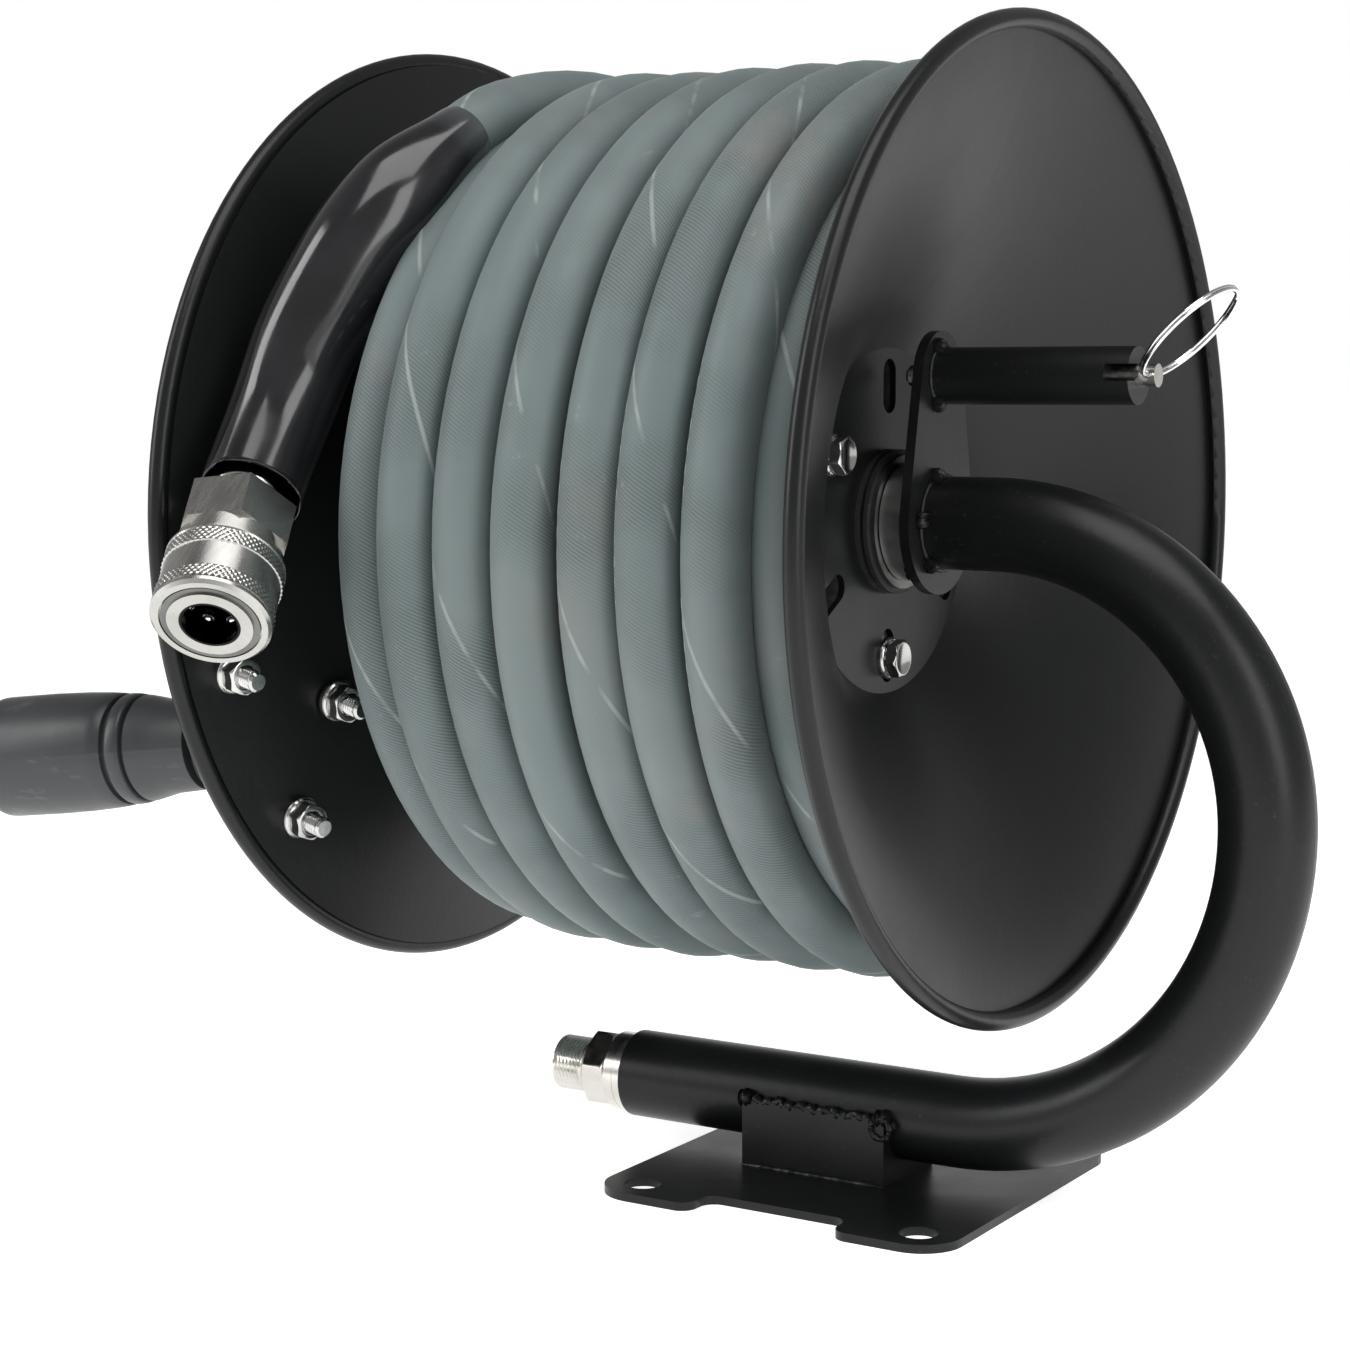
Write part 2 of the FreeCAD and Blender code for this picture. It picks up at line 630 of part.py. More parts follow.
def spindle():
    """Fixed hollow stem the hub turns on, with its boss and the spigot in the pipe."""
    seat = size("pipe_radius") - size("pipe_wall")
    bore = size("stem_bore")
    outline = [
        (size("stem_start"), bore), (size("spigot_end"), bore), (size("spigot_end"), seat),
        (size("bracket_start"), seat), (size("bracket_start"), size("boss_radius")),
        (size("boss_start"), size("boss_radius")), (size("boss_start"), size("stem_radius")),
        (size("clip_end"), size("stem_radius")), (size("clip_end"), size("clip_groove_radius")),
        (size("clip_start"), size("clip_groove_radius")),
        (size("clip_start"), size("stem_radius")), (size("stem_start"), size("stem_radius"))]
    finish("spindle", turned("spindle_stem", outline))


def spindle_stops():
    """Thrust washer and spring clip that keep the hub on the stem."""
    finish("thrust_washer", turned_ring("thrust_ring", size("stem_radius"),
                                        size("thrust_radius"), size("clip_end"),
                                        size("thrust_end")))
    finish("spring_clip", turned_ring("clip_ring", size("clip_groove_radius"),
                                      size("clip_radius"), size("clip_start"),
                                      size("clip_end")))


# ---------------------------------------------------------------- hub and reel

def hub_bush():
    """Loose plain bearing between the stem and the hub housing."""
    finish("hub_bush", turned_ring("bush_ring", size("stem_radius") + size("running_gap"),
                                   size("housing_bore") - size("running_gap"),
                                   size("bush_start"), size("bush_end")))


def hub_housing():
    """Tube with a plate at each end: the flanges bolt to the plates."""
    inner = size("housing_bore")
    station = size("housing_station")
    tube = turned_ring("housing_tube", inner, size("housing_radius"), -station, station)
    left = turned_ring("housing_left", size("housing_radius"), size("hub_plate_radius"),
                       -station, size("hub_plate") - station)
    right = turned_ring("housing_right", size("housing_radius"), size("hub_plate_radius"),
                        station - size("hub_plate"), station)
    doc.recompute()
    whole = tube.Shape.fuse([left.Shape, right.Shape]).removeSplitter()
    reach = num("housing_station") + 1
    for angle in FREE_ANGLES:
        for start in (-reach, reach - num("hub_plate") - 2):
            whole = whole.cut(rounded_slot(angle, start, start + num("hub_plate") + 2))
    for angle in BOLT_ANGLES:
        y, z = radial(num("bolt_circle"), angle)
        bar = Part.makeCylinder(num("bolt_radius"), 2 * reach, Vector(-reach, y, z), X_AXIS)
        whole = whole.cut(bar)
    port = Part.makeCylinder(num("outlet_bore"), 40, Vector(num("outlet_station"), 0, 0))
    finish("hub_housing", shaped("housing", whole.cut(port)))


def flange_sheet():
    """Right flange: flat hub with six slots, dished sheet, rolled rim."""
    flat = num("hub_flat_station")
    back = flat - num("sheet")
    outer = dish_arc(0.0)
    inner = dish_arc(num("sheet"))
    inner_low = Vector(back, 0, num("hub_flat_radius") - 0.4)
    bore = num("flange_bore")
    wire = Part.Wire([
        Part.LineSegment(Vector(back, 0, bore), Vector(flat, 0, bore)).toShape(),
        Part.LineSegment(Vector(flat, 0, bore), outer[0]).toShape(),
        Part.Arc(*outer).toShape(),
        Part.LineSegment(outer[2], inner[2]).toShape(),
        Part.Arc(*reversed(inner)).toShape(),
        Part.LineSegment(inner[0], inner_low).toShape(),
        Part.LineSegment(inner_low, Vector(back, 0, bore)).toShape()])
    rim = Vector(num("rim_station"), 0, num("rim_radius") - num("bead_radius"))
    bead = Part.Circle(rim, Vector(0, -1, 0), num("bead_radius")).toShape()
    section = Part.Face(wire).fuse(Part.Face(Part.Wire(bead))).removeSplitter()
    if len(section.Faces) != 1 or not section.isValid():
        raise RuntimeError("the flange's section is not one sound face")
    flange = section.Faces[0].revolve(Vector(0, 0, 0), X_AXIS, 360)
    for angle in FREE_ANGLES + BOLT_ANGLES:
        flange = flange.cut(rounded_slot(angle, back - 1, flat + 1))
    return flange


def flanges(sheet_shape):
    """The same pressing used twice, facing outwards on both sides."""
    finish("flange_right", shaped("flange_arm_side", sheet_shape))
    mirrored = sheet_shape.mirror(Vector(0, 0, 0), X_AXIS)
    drilled = mirrored
    for stud in crank_studs(num("stud_radius") + FACE_GAP, -20, 20):
        drilled = drilled.cut(stud)
    finish("flange_left", shaped("flange_crank_side", drilled))
    return mirrored


def drum():
    """Rolled drum between the flanges that carries the winding."""
    inner = size("drum_radius") - size("drum_sheet")
    ring = turned_ring("drum_tube", inner, size("drum_radius"), -size("drum_station"),
                       size("drum_station"))
    doc.recompute()
    hole = Part.makeCylinder(num("outlet_radius") + FACE_GAP, 90,
                             Vector(num("outlet_exit"), 0, 20))
    finish("drum", shaped("drum_shell", ring.Shape.cut(hole)))


def outlet_pipe():
    """Bent pipe that takes the water from the hub housing to the start of the hose."""
    near = num("outlet_station")
    far = num("outlet_exit")
    middle = num("outlet_run_radius")
    low = num("housing_radius") + FACE_GAP
    high = num("drum_radius") - 2 * FACE_GAP
    points = [Vector(near, 0, low), Vector(near, 0, middle), Vector(far, 0, middle),
              Vector(far, 0, high)]
    path, radii = tangent_path(points)
    outside = swept_round(path, num("outlet_radius"))
    inside = swept_round(path, num("outlet_bore"))
    finish("outlet_pipe", shaped("outlet", outside.cut(inside)))


def hub_trim():
    """Grooved ring, bright face ring, seal pack and the plug that closes the far end."""
    bore = size("ring_bore")
    outer = size("ring_radius")
    groove = size("ring_groove_radius")
    outline = [
        (size("hub_flat_station"), bore), (size("ring_end"), bore), (size("ring_end"), outer),
        (size("ring_groove_end"), outer), (size("ring_groove_end"), groove),
        (size("ring_groove_start"), groove), (size("ring_groove_start"), outer),
        (size("hub_flat_station"), outer)]
    finish("hub_ring", turned("grooved_ring", outline))
    finish("face_ring", turned_ring("bright_ring", bore, size("face_ring_radius"),
                                    size("ring_end"), size("face_ring_end")))
    finish("hub_seal", turned_ring("seal_pack", size("stem_radius") + size("running_gap"),
                                   size("housing_bore"), size("seal_start"),
                                   size("seal_end")))
    face = -size("hub_flat_station")
    depth = size("plug_depth") - size("housing_station")
    spigot = cylinder("plug_spigot", size("housing_bore"), face, depth)
    disc = cylinder("plug_disc", size("plug_flange_radius"), face - size("plug_flange"), face)
    nut_start = face - size("plug_flange") - size("plug_hex_height")
    nut = hexagon("plug_nut", size("plug_hex"), nut_start, face - size("plug_flange"))
    finish("hub_plug", fused("plug", [spigot, disc, nut]))


def bolt_shape():
    """M6 flange bolt along X: the underside of its head is at the origin, head to +X."""
    head = cylinder("bolt_disc", size("bolt_flange_radius"), Length(0.0, "0.0"),
                    size("bolt_flange_height"))
    nut = hexagon("bolt_hexagon", size("bolt_hex"), Length(0.0, "0.0"),
                  size("bolt_head_height"))
    shank = cylinder("bolt_shank", size("bolt_radius"), -size("bolt_length"),
                     Length(0.0, "0.0"))
    bolt = fused("bolt_pattern_piece", [head, nut, shank])
    doc.recompute()
    return bolt.Shape


def hub_bolts():
    """Three bolts through each flange into the hub plates."""
    bolt = bolt_shape()
    for label, way in (("hub_bolts_right", 1.0), ("hub_bolts_left", -1.0)):
        turn = Rotation() if way > 0 else Rotation(Vector(0, 0, 1), 180)
        pieces = []
        for angle in BOLT_ANGLES:
            y, z = radial(num("bolt_circle"), angle)
            spot = Placement(Vector(way * num("hub_flat_station"), y, z), turn)
            pieces.append(bolt.transformed(spot.toMatrix()))
        finish(label, shaped(label + "_set", Part.makeCompound(pieces)))


# ---------------------------------------------------------------- crank

def crank_out():
    """Unit vector from the spin axis to the crank."""
    y, z = radial(1.0, -num("crank_angle"))
    return Vector(0, y, z)


def crank_normal():
    """Outward normal of the crank plate, square to the sheet under it."""
    slope = math.radians(num("crank_sheet_slope"))
    return X_AXIS * -math.cos(slope) - crank_out() * math.sin(slope)


def crank_centre():
    """Middle of the crank plate's inner face."""
    return X_AXIS * num("crank_station") + crank_out() * num("crank_mount_radius")


def crank_spots():
    """The three places where the crank plate is bolted to the flange."""
    side = X_AXIS.cross(crank_out())
    inwards = crank_out() - crank_normal() * crank_out().dot(crank_normal())
    inwards = inwards.normalize() * -1.0
    centre = crank_centre()
    reach = num("crank_bolt_side")
    return (centre + side * reach, centre - side * reach,
            centre + inwards * num("crank_bolt_in"))


def crank_studs(radius, start, end):
    """Bars along the crank plate's normal at its three bolts."""
    way = crank_normal()
    return [Part.makeCylinder(radius, end - start, spot + way * start, way)
            for spot in crank_spots()]


def crank_frame():
    """Placement whose X axis is the grip's axis, origin at the crank plate's middle."""
    lean = math.radians(num("crank_lean"))
    way = X_AXIS * -math.cos(lean) + crank_out() * math.sin(lean)
    return Placement(crank_centre(), Rotation(X_AXIS, way))


def crank_plate():
    """Three-armed plate with a short boss that leads the grip's spindle away from it."""
    way = crank_normal()
    thick = num("crank_plate")
    spots = crank_spots()
    tab = num("crank_tab_radius")
    pieces = [Part.makeCylinder(tab, thick, spot, way) for spot in spots]
    for index, spot in enumerate(spots):
        after = spots[(index + 1) % 3]
        run = after - spot
        side = run.cross(way).normalize() * tab
        corners = [spot + side, after + side, after - side, spot - side, spot + side]
        pieces.append(Part.Face(Part.makePolygon(corners)).extrude(way * thick))
    middle = Part.Face(Part.makePolygon(list(spots) + [spots[0]])).extrude(way * thick)
    boss_way = crank_frame().Rotation.multVec(X_AXIS)
    boss = Part.makeCylinder(num("crank_boss_radius"), num("crank_boss_length") + 6,
                             crank_centre() - boss_way * 6, boss_way)
    under = crank_centre() + way * thick * 0.5
    side = Part.makeBox(120, 120, 40, Vector(-60, -60, 0))
    side.Placement = Placement(under, Rotation(Vector(0, 0, 1), way))
    boss = boss.common(side)
    plate = pieces[0].fuse(pieces[1:] + [middle, boss]).removeSplitter()
    for stud in crank_studs(num("stud_radius"), -10, 10):
        plate = plate.cut(stud)
    finish("crank_plate", shaped("crank_bracket", plate))


def crank_fixings(left_flange):
    """Spacers, bolts, washers and nuts of the crank plate, seated on the dished sheet."""
    gap = 12.0
    hole = crank_studs(num("stud_radius"), -gap, 0)
    spacers = []
    for index, spacer in enumerate(crank_studs(num("washer_radius"), -gap, 0)):
        rest = spacer.cut([left_flange, hole[index]])
        spacers.append(outer_piece(rest))
    finish("crank_spacers", shaped("crank_spacer_set", Part.makeCompound(spacers)))
    way = crank_normal()
    bolts, washers, nuts = [], [], []
    for spot in crank_spots():
        inside = sheet_depth(left_flange, spot, way)
        seat = spot - way * (inside + num("washer_thickness"))
        washer = Part.makeCylinder(num("washer_radius"), num("washer_thickness"), seat, way)
        bore = Part.makeCylinder(num("stud_radius"), 60, spot - way * 30, way)
        washers.append(washer.cut([bore, left_flange]))
        nut_start = seat - way * num("nut_height")
        nuts.append(hex_bar(num("nut_hex"), nut_start, way, num("nut_height")).cut(bore))
        tip = nut_start - way * num("stud_tip")
        top = spot + way * num("crank_plate")
        shank = Part.makeCylinder(num("stud_radius"), (top - tip).Length, tip, way)
        head = hex_bar(num("bolt_hex"), top, way, num("bolt_head_height") - 1.4)
        bolts.append(shank.fuse(head))
    finish("crank_bolts", shaped("crank_bolt_set", Part.makeCompound(bolts)))
    finish("crank_washers", shaped("crank_washer_set", Part.makeCompound(washers)))
    finish("crank_nuts", shaped("crank_nut_set", Part.makeCompound(nuts)))


def outer_piece(shape):
    """The solid of a cut spacer that lies on the crank's side of the sheet."""
    solids = sorted(shape.Solids, key=lambda solid: solid.CenterOfMass.x)
    return solids[0]


def hex_bar(across_flats, start, way, length):
    """Hexagonal bar along any direction."""
    radius = across_flats / (2 * math.cos(math.pi / 6))
    turn = Rotation(Vector(0, 0, 1), way)
    corners = []
    for number in range(7):
        angle = math.radians(60 * number)
        spot = Vector(radius * math.cos(angle), radius * math.sin(angle), 0)
        corners.append(start + turn.multVec(spot))
    return Part.Face(Part.makePolygon(corners)).extrude(way * length)


def sheet_depth(left_flange, spot, way):
    """Depth below the crank plate at which a washer clears the dished sheet."""
    bar = Part.makeCylinder(num("washer_radius"), 40, spot - way * 40, way)
    slab = bar.common(left_flange)
    points = [point for edge in slab.Edges for point in edge.discretize(24)]
    depth = max((spot - point).dot(way) for point in points)
    return depth - num("washer_thickness") * 0.2


def grip_spindle():
    """Steel pin the grip turns on, with the washer and nut at its end."""
    start = size("crank_boss_length")
    end = size("grip_end") - size("grip_cap_depth")
    shank = cylinder("grip_pin_bar", size("grip_pin_radius"), start, end)
    head = cylinder("grip_pin_head", size("grip_cap_radius") - 0.4, end + 0.3,
                    end + 3.3)
    neck = cylinder("grip_pin_neck", size("grip_pin_radius"), end, end + 0.3)
    finish("grip_spindle", fused("grip_pin", [shank, neck, head]), crank_frame())


def grip():
    """Hand grip, free to turn: neck, ring between two grooves, barrel and end recess."""
    bore = size("grip_bore")
    depth = size("groove_depth")
    shoulder = size("grip_shoulder_radius")
    one, two = size("groove_one"), size("groove_two")
    wide = size("groove_width")
    end = size("grip_end")
    recess = end - size("grip_cap_depth")
    radius = size("grip_end_radius")
    outline = [
        (size("grip_start"), bore), (recess, bore), (recess, size("grip_cap_radius")),
        (end, size("grip_cap_radius")), (end, radius - 3.0), (end - 0.9, radius - 1.1),
        (end - 3.0, radius), (end - 20.0, radius), (two + 6.0, shoulder + 0.7),
        (two + wide, shoulder + 0.3), (two + wide, shoulder + 0.3 - depth),
        (two, shoulder - depth), (two, shoulder - 0.1), (one + wide, shoulder - 0.5),
        (one + wide, shoulder - 0.5 - depth), (one, shoulder - 0.8 - depth),
        (one, shoulder - 0.9), (size("grip_waist"), size("grip_neck_radius") + 0.5),
        (size("grip_start"), size("grip_neck_radius"))]
    finish("grip", turned("grip_barrel", outline), crank_frame())


# ---------------------------------------------------------------- lock pin and split ring

def lock_pin():
    """Sliding pin: tip, spring collar inside the barrel, end with a cross hole."""
    collar_end = size("pin_collar_start") + size("pin_collar")
    outer = size("pin_radius")
    tip = size("pin_tip")
    shank = cylinder("pin_bar", outer, tip + 1.0, size("pin_end"))
    cone = doc.addObject("Part::Cone", "pin_point")
    bind(cone, "Radius1", outer - 1.0)
    bind(cone, "Radius2", outer)
    cone.Height = 1.0
    move(cone, tip, 0.0, 0.0, ALONG_X)
    collar = cylinder("pin_shoulder", size("pin_collar_radius"), size("pin_collar_start"),
                      collar_end)
    cross = doc.addObject("Part::Cylinder", "pin_cross_hole")
    bind(cross, "Radius", size("cross_hole_radius"))
    cross.Height = 20.0
    move(cross, size("cross_hole_station"), 10.0, 0.0, Rotation(X_AXIS, 90))
    pose = Placement(Vector(0, 0, num("lock_height")), Rotation())
    finish("lock_pin", less("pin", fused("pin_solid", [shank, cone, collar]), cross), pose)


def coil_spring(name, label, start, end, radius, wire, turns, pose):
    """Wire spring about X between two stations."""
    pitch = (end - start - 2 * wire) / turns
    helix = Part.makeHelix(pitch, end - start - 2 * wire, radius)
    ring = Part.Wire(Part.Circle(Vector(radius, 0, 0), Vector(0, 1, 0), wire).toShape())
    solid = Part.Wire(helix.Edges).makePipeShell([ring], True, True)
    along = Placement(Vector(start + wire, 0, 0), ALONG_X)
    finish(label, shaped(name, solid.transformed(along.toMatrix(), copy=True)), pose)


def lock_spring():
    """Spring that pushes the lock pin towards the flange."""
    start = num("pin_collar_start") + num("pin_collar") + 0.2
    pose = Placement(Vector(0, 0, num("lock_height")), Rotation())
    coil_spring("lock_coil", "lock_spring", start, num("guide_start") - 0.2,
                num("lock_coil_radius"), num("lock_wire"), num("lock_turns"), pose)


def split_ring():
    """Pull ring through the pin's cross hole, leaning up and away from the barrel."""
    ring = doc.addObject("Part::Torus", "pull_ring")
    bind(ring, "Radius1", size("split_ring_radius"))
    bind(ring, "Radius2", size("split_ring_wire"))
    tilt = num("split_ring_tilt")
    slant = math.radians(tilt)
    reach = num("split_ring_radius")
    spot = Vector(num("cross_hole_station") + reach * math.cos(slant), 0,
                  num("lock_height") + reach * math.sin(slant))
    finish("split_ring", ring, Placement(spot, Rotation(Vector(0, 1, 0), -tilt)))


# ---------------------------------------------------------------- hose and coupler

def hose_coil():
    """Outer shape of the wound hose: deep in the middle, lower beside both flanges."""
    drum_top = size("drum_radius")
    top = size("coil_radius")
    left = size("coil_left")
    right = size("coil_right")
    outline = [
        (left, drum_top), (right - 17.0, drum_top), (right - 15.5, drum_top + 8.5),
        (right - 7.5, top - 31.0), (right, top - 19.0), (right - 9.5, top - 9.5),
        (right - 30.0, top - 2.0), (right - 36.0, top), (left + 30.0, top),
        (left + 30.0, top - 17.0), (left + 2.0, top - 22.0), (left, top - 33.0)]
    finish("hose_coil", turned("winding", outline))


def hose_tail():
    """Loose end of the hose, from the winding to the coupler, with its sleeve."""
    edges, radii = tangent_path(list(TAIL_ROUTE))
    print("hose bend radii, mm: " + ", ".join("%.0f" % radius for radius in radii))
    hose = swept_round(edges, num("hose_radius"))
    length = sum(edge.Length for edge in edges)
    section = math.pi * num("hose_radius") ** 2
    print("hose tail volume %.0f, section times length %.0f, length %.1f"
          % (hose.Volume, section * length, length))
    finish("hose_tail", shaped("hose_loose_end", hose))
    covered = edges[2 * SLEEVE_FIRST_RUN:-1]
    skin = swept_round(covered, num("sleeve_radius"))
    start = covered[-1].lastVertex(True).Point
    mouth_end = COUPLER_FACE - COUPLER_AXIS * (num("ferrule_end") + 5.5)
    way = mouth_end - start
    mouth = Part.makeCone(num("sleeve_radius") - 0.2, num("sleeve_mouth_radius"), way.Length,
                          start, way)
    finish("hose_sleeve", shaped("sleeve", skin.fuse(mouth).cut(hose)))


def coupler_pose():
    """Placement whose X axis runs back from the coupler's open face."""
    return Placement(COUPLER_FACE, Rotation(X_AXIS, COUPLER_AXIS * -1.0))


def coupler_body():
    """Socket body: bore for the plug, ball seats, spring shoulder, hex at the back."""
    slim = size("coupler_body_radius")
    wide = size("coupler_shoulder_radius")
    zero = Length(0.0, "0.0")
    front = cylinder("socket_front", slim, zero, size("coupler_shoulder"))
    neck = cylinder("socket_neck", wide, size("coupler_shoulder"), size("coupler_hex_start"))
    nut = hexagon("socket_hex", size("coupler_hex"), size("coupler_hex_start"),
                  size("coupler_hex_end"), 24.5)
    bore = cylinder("socket_bore", size("coupler_bore"), Length(-1.0, "-1.0"),
                    size("coupler_land") + 1.0)
    well = cylinder("socket_well", size("coupler_well"), size("coupler_land"),
                    size("seal_station") + 6.0)
    way = cylinder("socket_way", size("coupler_way"), Length(-1.0, "-1.0"),
                   size("coupler_hex_end") + 1.0)
    holes = [bore, well, way]
    for number in range(int(num("ball_count"))):
        ball = doc.addObject("Part::Sphere", "ball_seat_%d" % number)
        bind(ball, "Radius", size("ball_radius"))
        y, z = radial(num("ball_circle"), 360.0 * number / num("ball_count"))
        holes.append(move(ball, size("ball_station"), y, z))
    lip = less("snap_room", cylinder("snap_outer", slim + 1.0, size("snap_start"),
                                     size("snap_end")),
               cylinder("snap_inner", slim - size("snap_groove"), zero,
                        size("snap_end") + 1.0))
    holes.append(lip)
    solid = fused("socket_solid", [front, neck, nut])
    finish("coupler_body", less("socket", solid, fused("socket_hollow", holes)),
           coupler_pose())


def coupler_small_parts():
    """Balls, bore seal, snap ring and the hose's own hex end."""
    pose = coupler_pose()
    balls = []
    for number in range(int(num("ball_count"))):
        ball = doc.addObject("Part::Sphere", "lock_ball_%d" % number)
        bind(ball, "Radius", size("ball_radius"))
        y, z = radial(num("ball_circle"), 360.0 * number / num("ball_count"))
        balls.append(move(ball, size("ball_station"), y, z))
    finish("coupler_balls", grouped("ball_ring", balls), pose)
    well = size("coupler_well")
    station = size("seal_station")
    finish("coupler_seal", turned_ring("bore_seal", well - size("seal_wire"), well, station,
                                       station + size("seal_wire") * 2.0), pose)
    finish("coupler_snap_ring", turned_ring(
        "snap_wire", size("coupler_body_radius") - size("snap_groove"),
        size("coupler_snap_radius"), size("snap_start"), size("snap_end")), pose)
    nut = hexagon("hose_end_hex", size("ferrule_hex"), size("coupler_hex_end"),
                  size("ferrule_end"))
    hole = cylinder("hose_end_way", size("coupler_way"),
                    size("coupler_hex_end") - 1.0, size("ferrule_end") + 1.0)
    finish("hose_ferrule", less("hose_end", nut, hole), pose)


def coupler_collar():
    """Sliding collar: front land runs on the body, rear chamber runs on its shoulder."""
    gap = size("running_gap")
    start, end = size("collar_start"), size("collar_end")
    outer = size("collar_radius")
    land = size("coupler_body_radius") + gap
    chamber = size("coupler_shoulder_radius") + gap
    outline = [
        (start, size("coupler_snap_radius") + 0.4), (size("collar_land"),
                                                     size("coupler_snap_radius") + 0.4),
        (size("collar_land"), land), (size("collar_chamber"), land),
        (size("collar_chamber"), chamber), (end, chamber), (end, outer - 0.6),
        (end - 0.6, outer), (end - 6.0, outer), (end - 6.4, outer - 0.5),
        (start + 6.9, outer - 0.5), (start + 6.5, outer), (start + 0.8, outer),
        (start, outer - 0.8)]
    finish("coupler_collar", turned("collar", outline), coupler_pose())


def coupler_spring():
    """Spring that keeps the collar forward."""
    coil_spring("collar_coil", "coupler_spring", num("collar_chamber") + 0.2,
                num("coupler_shoulder") - 0.2, 13.05, num("coupler_wire"),
                num("coupler_turns"), coupler_pose())


def check_and_write():
    """Stop on any failed object or bad shape, then write one file for each sub-part."""
    doc.recompute()
    for obj in doc.Objects:
        if "Invalid" in obj.State or "Error" in obj.State:
            raise RuntimeError("%s failed: %s" % (obj.Label, obj.State))
    os.makedirs("parts", exist_ok=True)
    for label, obj in PARTS.items():
        shape = obj.Shape
        if shape.isNull() or not shape.isValid() or shape.Volume <= 0:
            raise RuntimeError("%s has no valid shape" % label)
        shape.exportStep("parts/%s.step" % label)
    print("%d sub-parts written" % len(PARTS))


def main():
    base_plate()
    saddle()
    saddle_welds()
    arm_pipe()
    inlet_fitting()
    inlet_rings()
    lock_bracket()
    bracket_welds()
    lock_barrel()
    spindle()
    spindle_stops()
    hub_bush()
    hub_housing()
    left_flange = flanges(flange_sheet())
    drum()
    outlet_pipe()
    hub_trim()
    hub_bolts()
    crank_plate()
    crank_fixings(left_flange)
    grip_spindle()
    grip()
    lock_pin()
    lock_spring()
    split_ring()
    hose_coil()
    hose_tail()
    coupler_body()
    coupler_small_parts()
    coupler_collar()
    coupler_spring()
    check_and_write()


main()
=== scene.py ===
"""Hose reel on a bent pipe arm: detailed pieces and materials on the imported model."""

import json
import math

import bpy
from mathutils import Matrix, Vector


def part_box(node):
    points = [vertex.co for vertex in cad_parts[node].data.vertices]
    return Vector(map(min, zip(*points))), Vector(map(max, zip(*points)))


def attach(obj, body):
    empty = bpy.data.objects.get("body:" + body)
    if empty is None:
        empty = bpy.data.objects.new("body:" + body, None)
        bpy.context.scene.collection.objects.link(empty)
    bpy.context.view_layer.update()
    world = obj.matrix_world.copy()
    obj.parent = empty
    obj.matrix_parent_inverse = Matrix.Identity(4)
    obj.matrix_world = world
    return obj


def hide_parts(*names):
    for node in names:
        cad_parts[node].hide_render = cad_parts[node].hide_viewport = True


MM = 0.001
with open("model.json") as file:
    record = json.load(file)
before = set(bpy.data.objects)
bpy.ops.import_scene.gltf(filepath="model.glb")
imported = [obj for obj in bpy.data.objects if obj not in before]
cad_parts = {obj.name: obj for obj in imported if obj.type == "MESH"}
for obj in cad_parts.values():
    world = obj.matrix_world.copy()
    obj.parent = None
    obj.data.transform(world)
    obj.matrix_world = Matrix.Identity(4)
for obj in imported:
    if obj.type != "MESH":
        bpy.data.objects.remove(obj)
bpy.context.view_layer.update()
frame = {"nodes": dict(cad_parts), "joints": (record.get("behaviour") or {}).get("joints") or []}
JOINTS = {joint["name"]: joint for joint in frame["joints"]}
SPIN = Vector(JOINTS["reel_spin"]["pos_m"])
X_AXIS = Vector((1.0, 0.0, 0.0))

# Hose: outside radius, and the winding as (turns from the inner end, station along the spin
# axis, radius) in millimetres. The hose's line runs through these; layers nest a little.
HOSE_RADIUS = 8.9
POINTS_PER_TURN = 24
WINDING = (
    (0.0, 46.0, 88.5), (5.3, -57.0, 88.5), (5.75, -56.5, 105.3), (12.25, 63.0, 105.3),
    (12.75, 72.0, 105.6), (13.25, 80.5, 110.5), (13.65, 81.5, 118.5), (14.25, 68.5, 122.0),
    (15.25, 49.5, 122.2), (16.25, 31.0, 122.2), (17.25, 11.0, 122.2), (18.25, -8.0, 122.2),
    (19.25, -27.0, 122.2), (19.8, -37.0, 118.5), (20.06, -40.0, 114.5), (20.25, -43.0, 117.5),
    (20.75, -48.5, 119.0), (21.02, -48.0, 125.5))

# The loose end, from the last turn to the coupler, in millimetres from the reel's middle.
TAIL_ROUTE = (
    (-46.4, -50.6, 119.2), (-49.2, -70.6, 108.2), (-55.9, -87.0, 93.2), (-65.2, -98.6, 75.0),
    (-74.2, -106.6, 54.6), (-79.5, -113.6, 32.0), (-78.4, -128.2, 10.1))
COUPLER_FACE = Vector((-62.9, -161.7, -23.6))
COUPLER_BACK = Vector((-0.31, 0.67, 0.674)).normalized()

# Sleeve: length along the hose in metres, half widths in millimetres where it is drawn
# tight and where it is loose, and how far it hangs away from the flange.
SLEEVE_LENGTH = 0.135
SLEEVE_TIGHT = 9.35
SLEEVE_LOOSE = (14.6, 15.8)
SLEEVE_SHIFT = 2.2

# Hardware sizes in millimetres.
HUB_FLAT = 54.0
BOLT_CIRCLE = 39.8
BOLT_ANGLES = (30.0, 150.0, 270.0)
PIN_HEIGHT = 41.9
PULL_RING_RADIUS = 16.5
PULL_RING_TILT = 45.0
COLLAR_RADIUS = 16.5
KNURL_TEETH = 60
KNURL_DEPTH = 0.28
KNURL_STEP = 0.25
BORE_RADIUS = 8.3
CRANK_SHEET_SLOPE = 17.6
CRANK_MIDDLE = (-99.2, -101.5, -63.4)

# The photo's camera looks this way; the backdrop is white around it.
CAMERA_WAY = (-0.5251, 0.8446, -0.1044)


def at(x, y, z):
    """Point given in millimetres from the middle of the reel."""
    return SPIN + Vector((x, y, z)) * MM


def pose_along(point, way):
    """Matrix whose X axis is way, with its origin at point."""
    turn = X_AXIS.rotation_difference(Vector(way)).to_matrix().to_4x4()
    return Matrix.Translation(point) @ turn


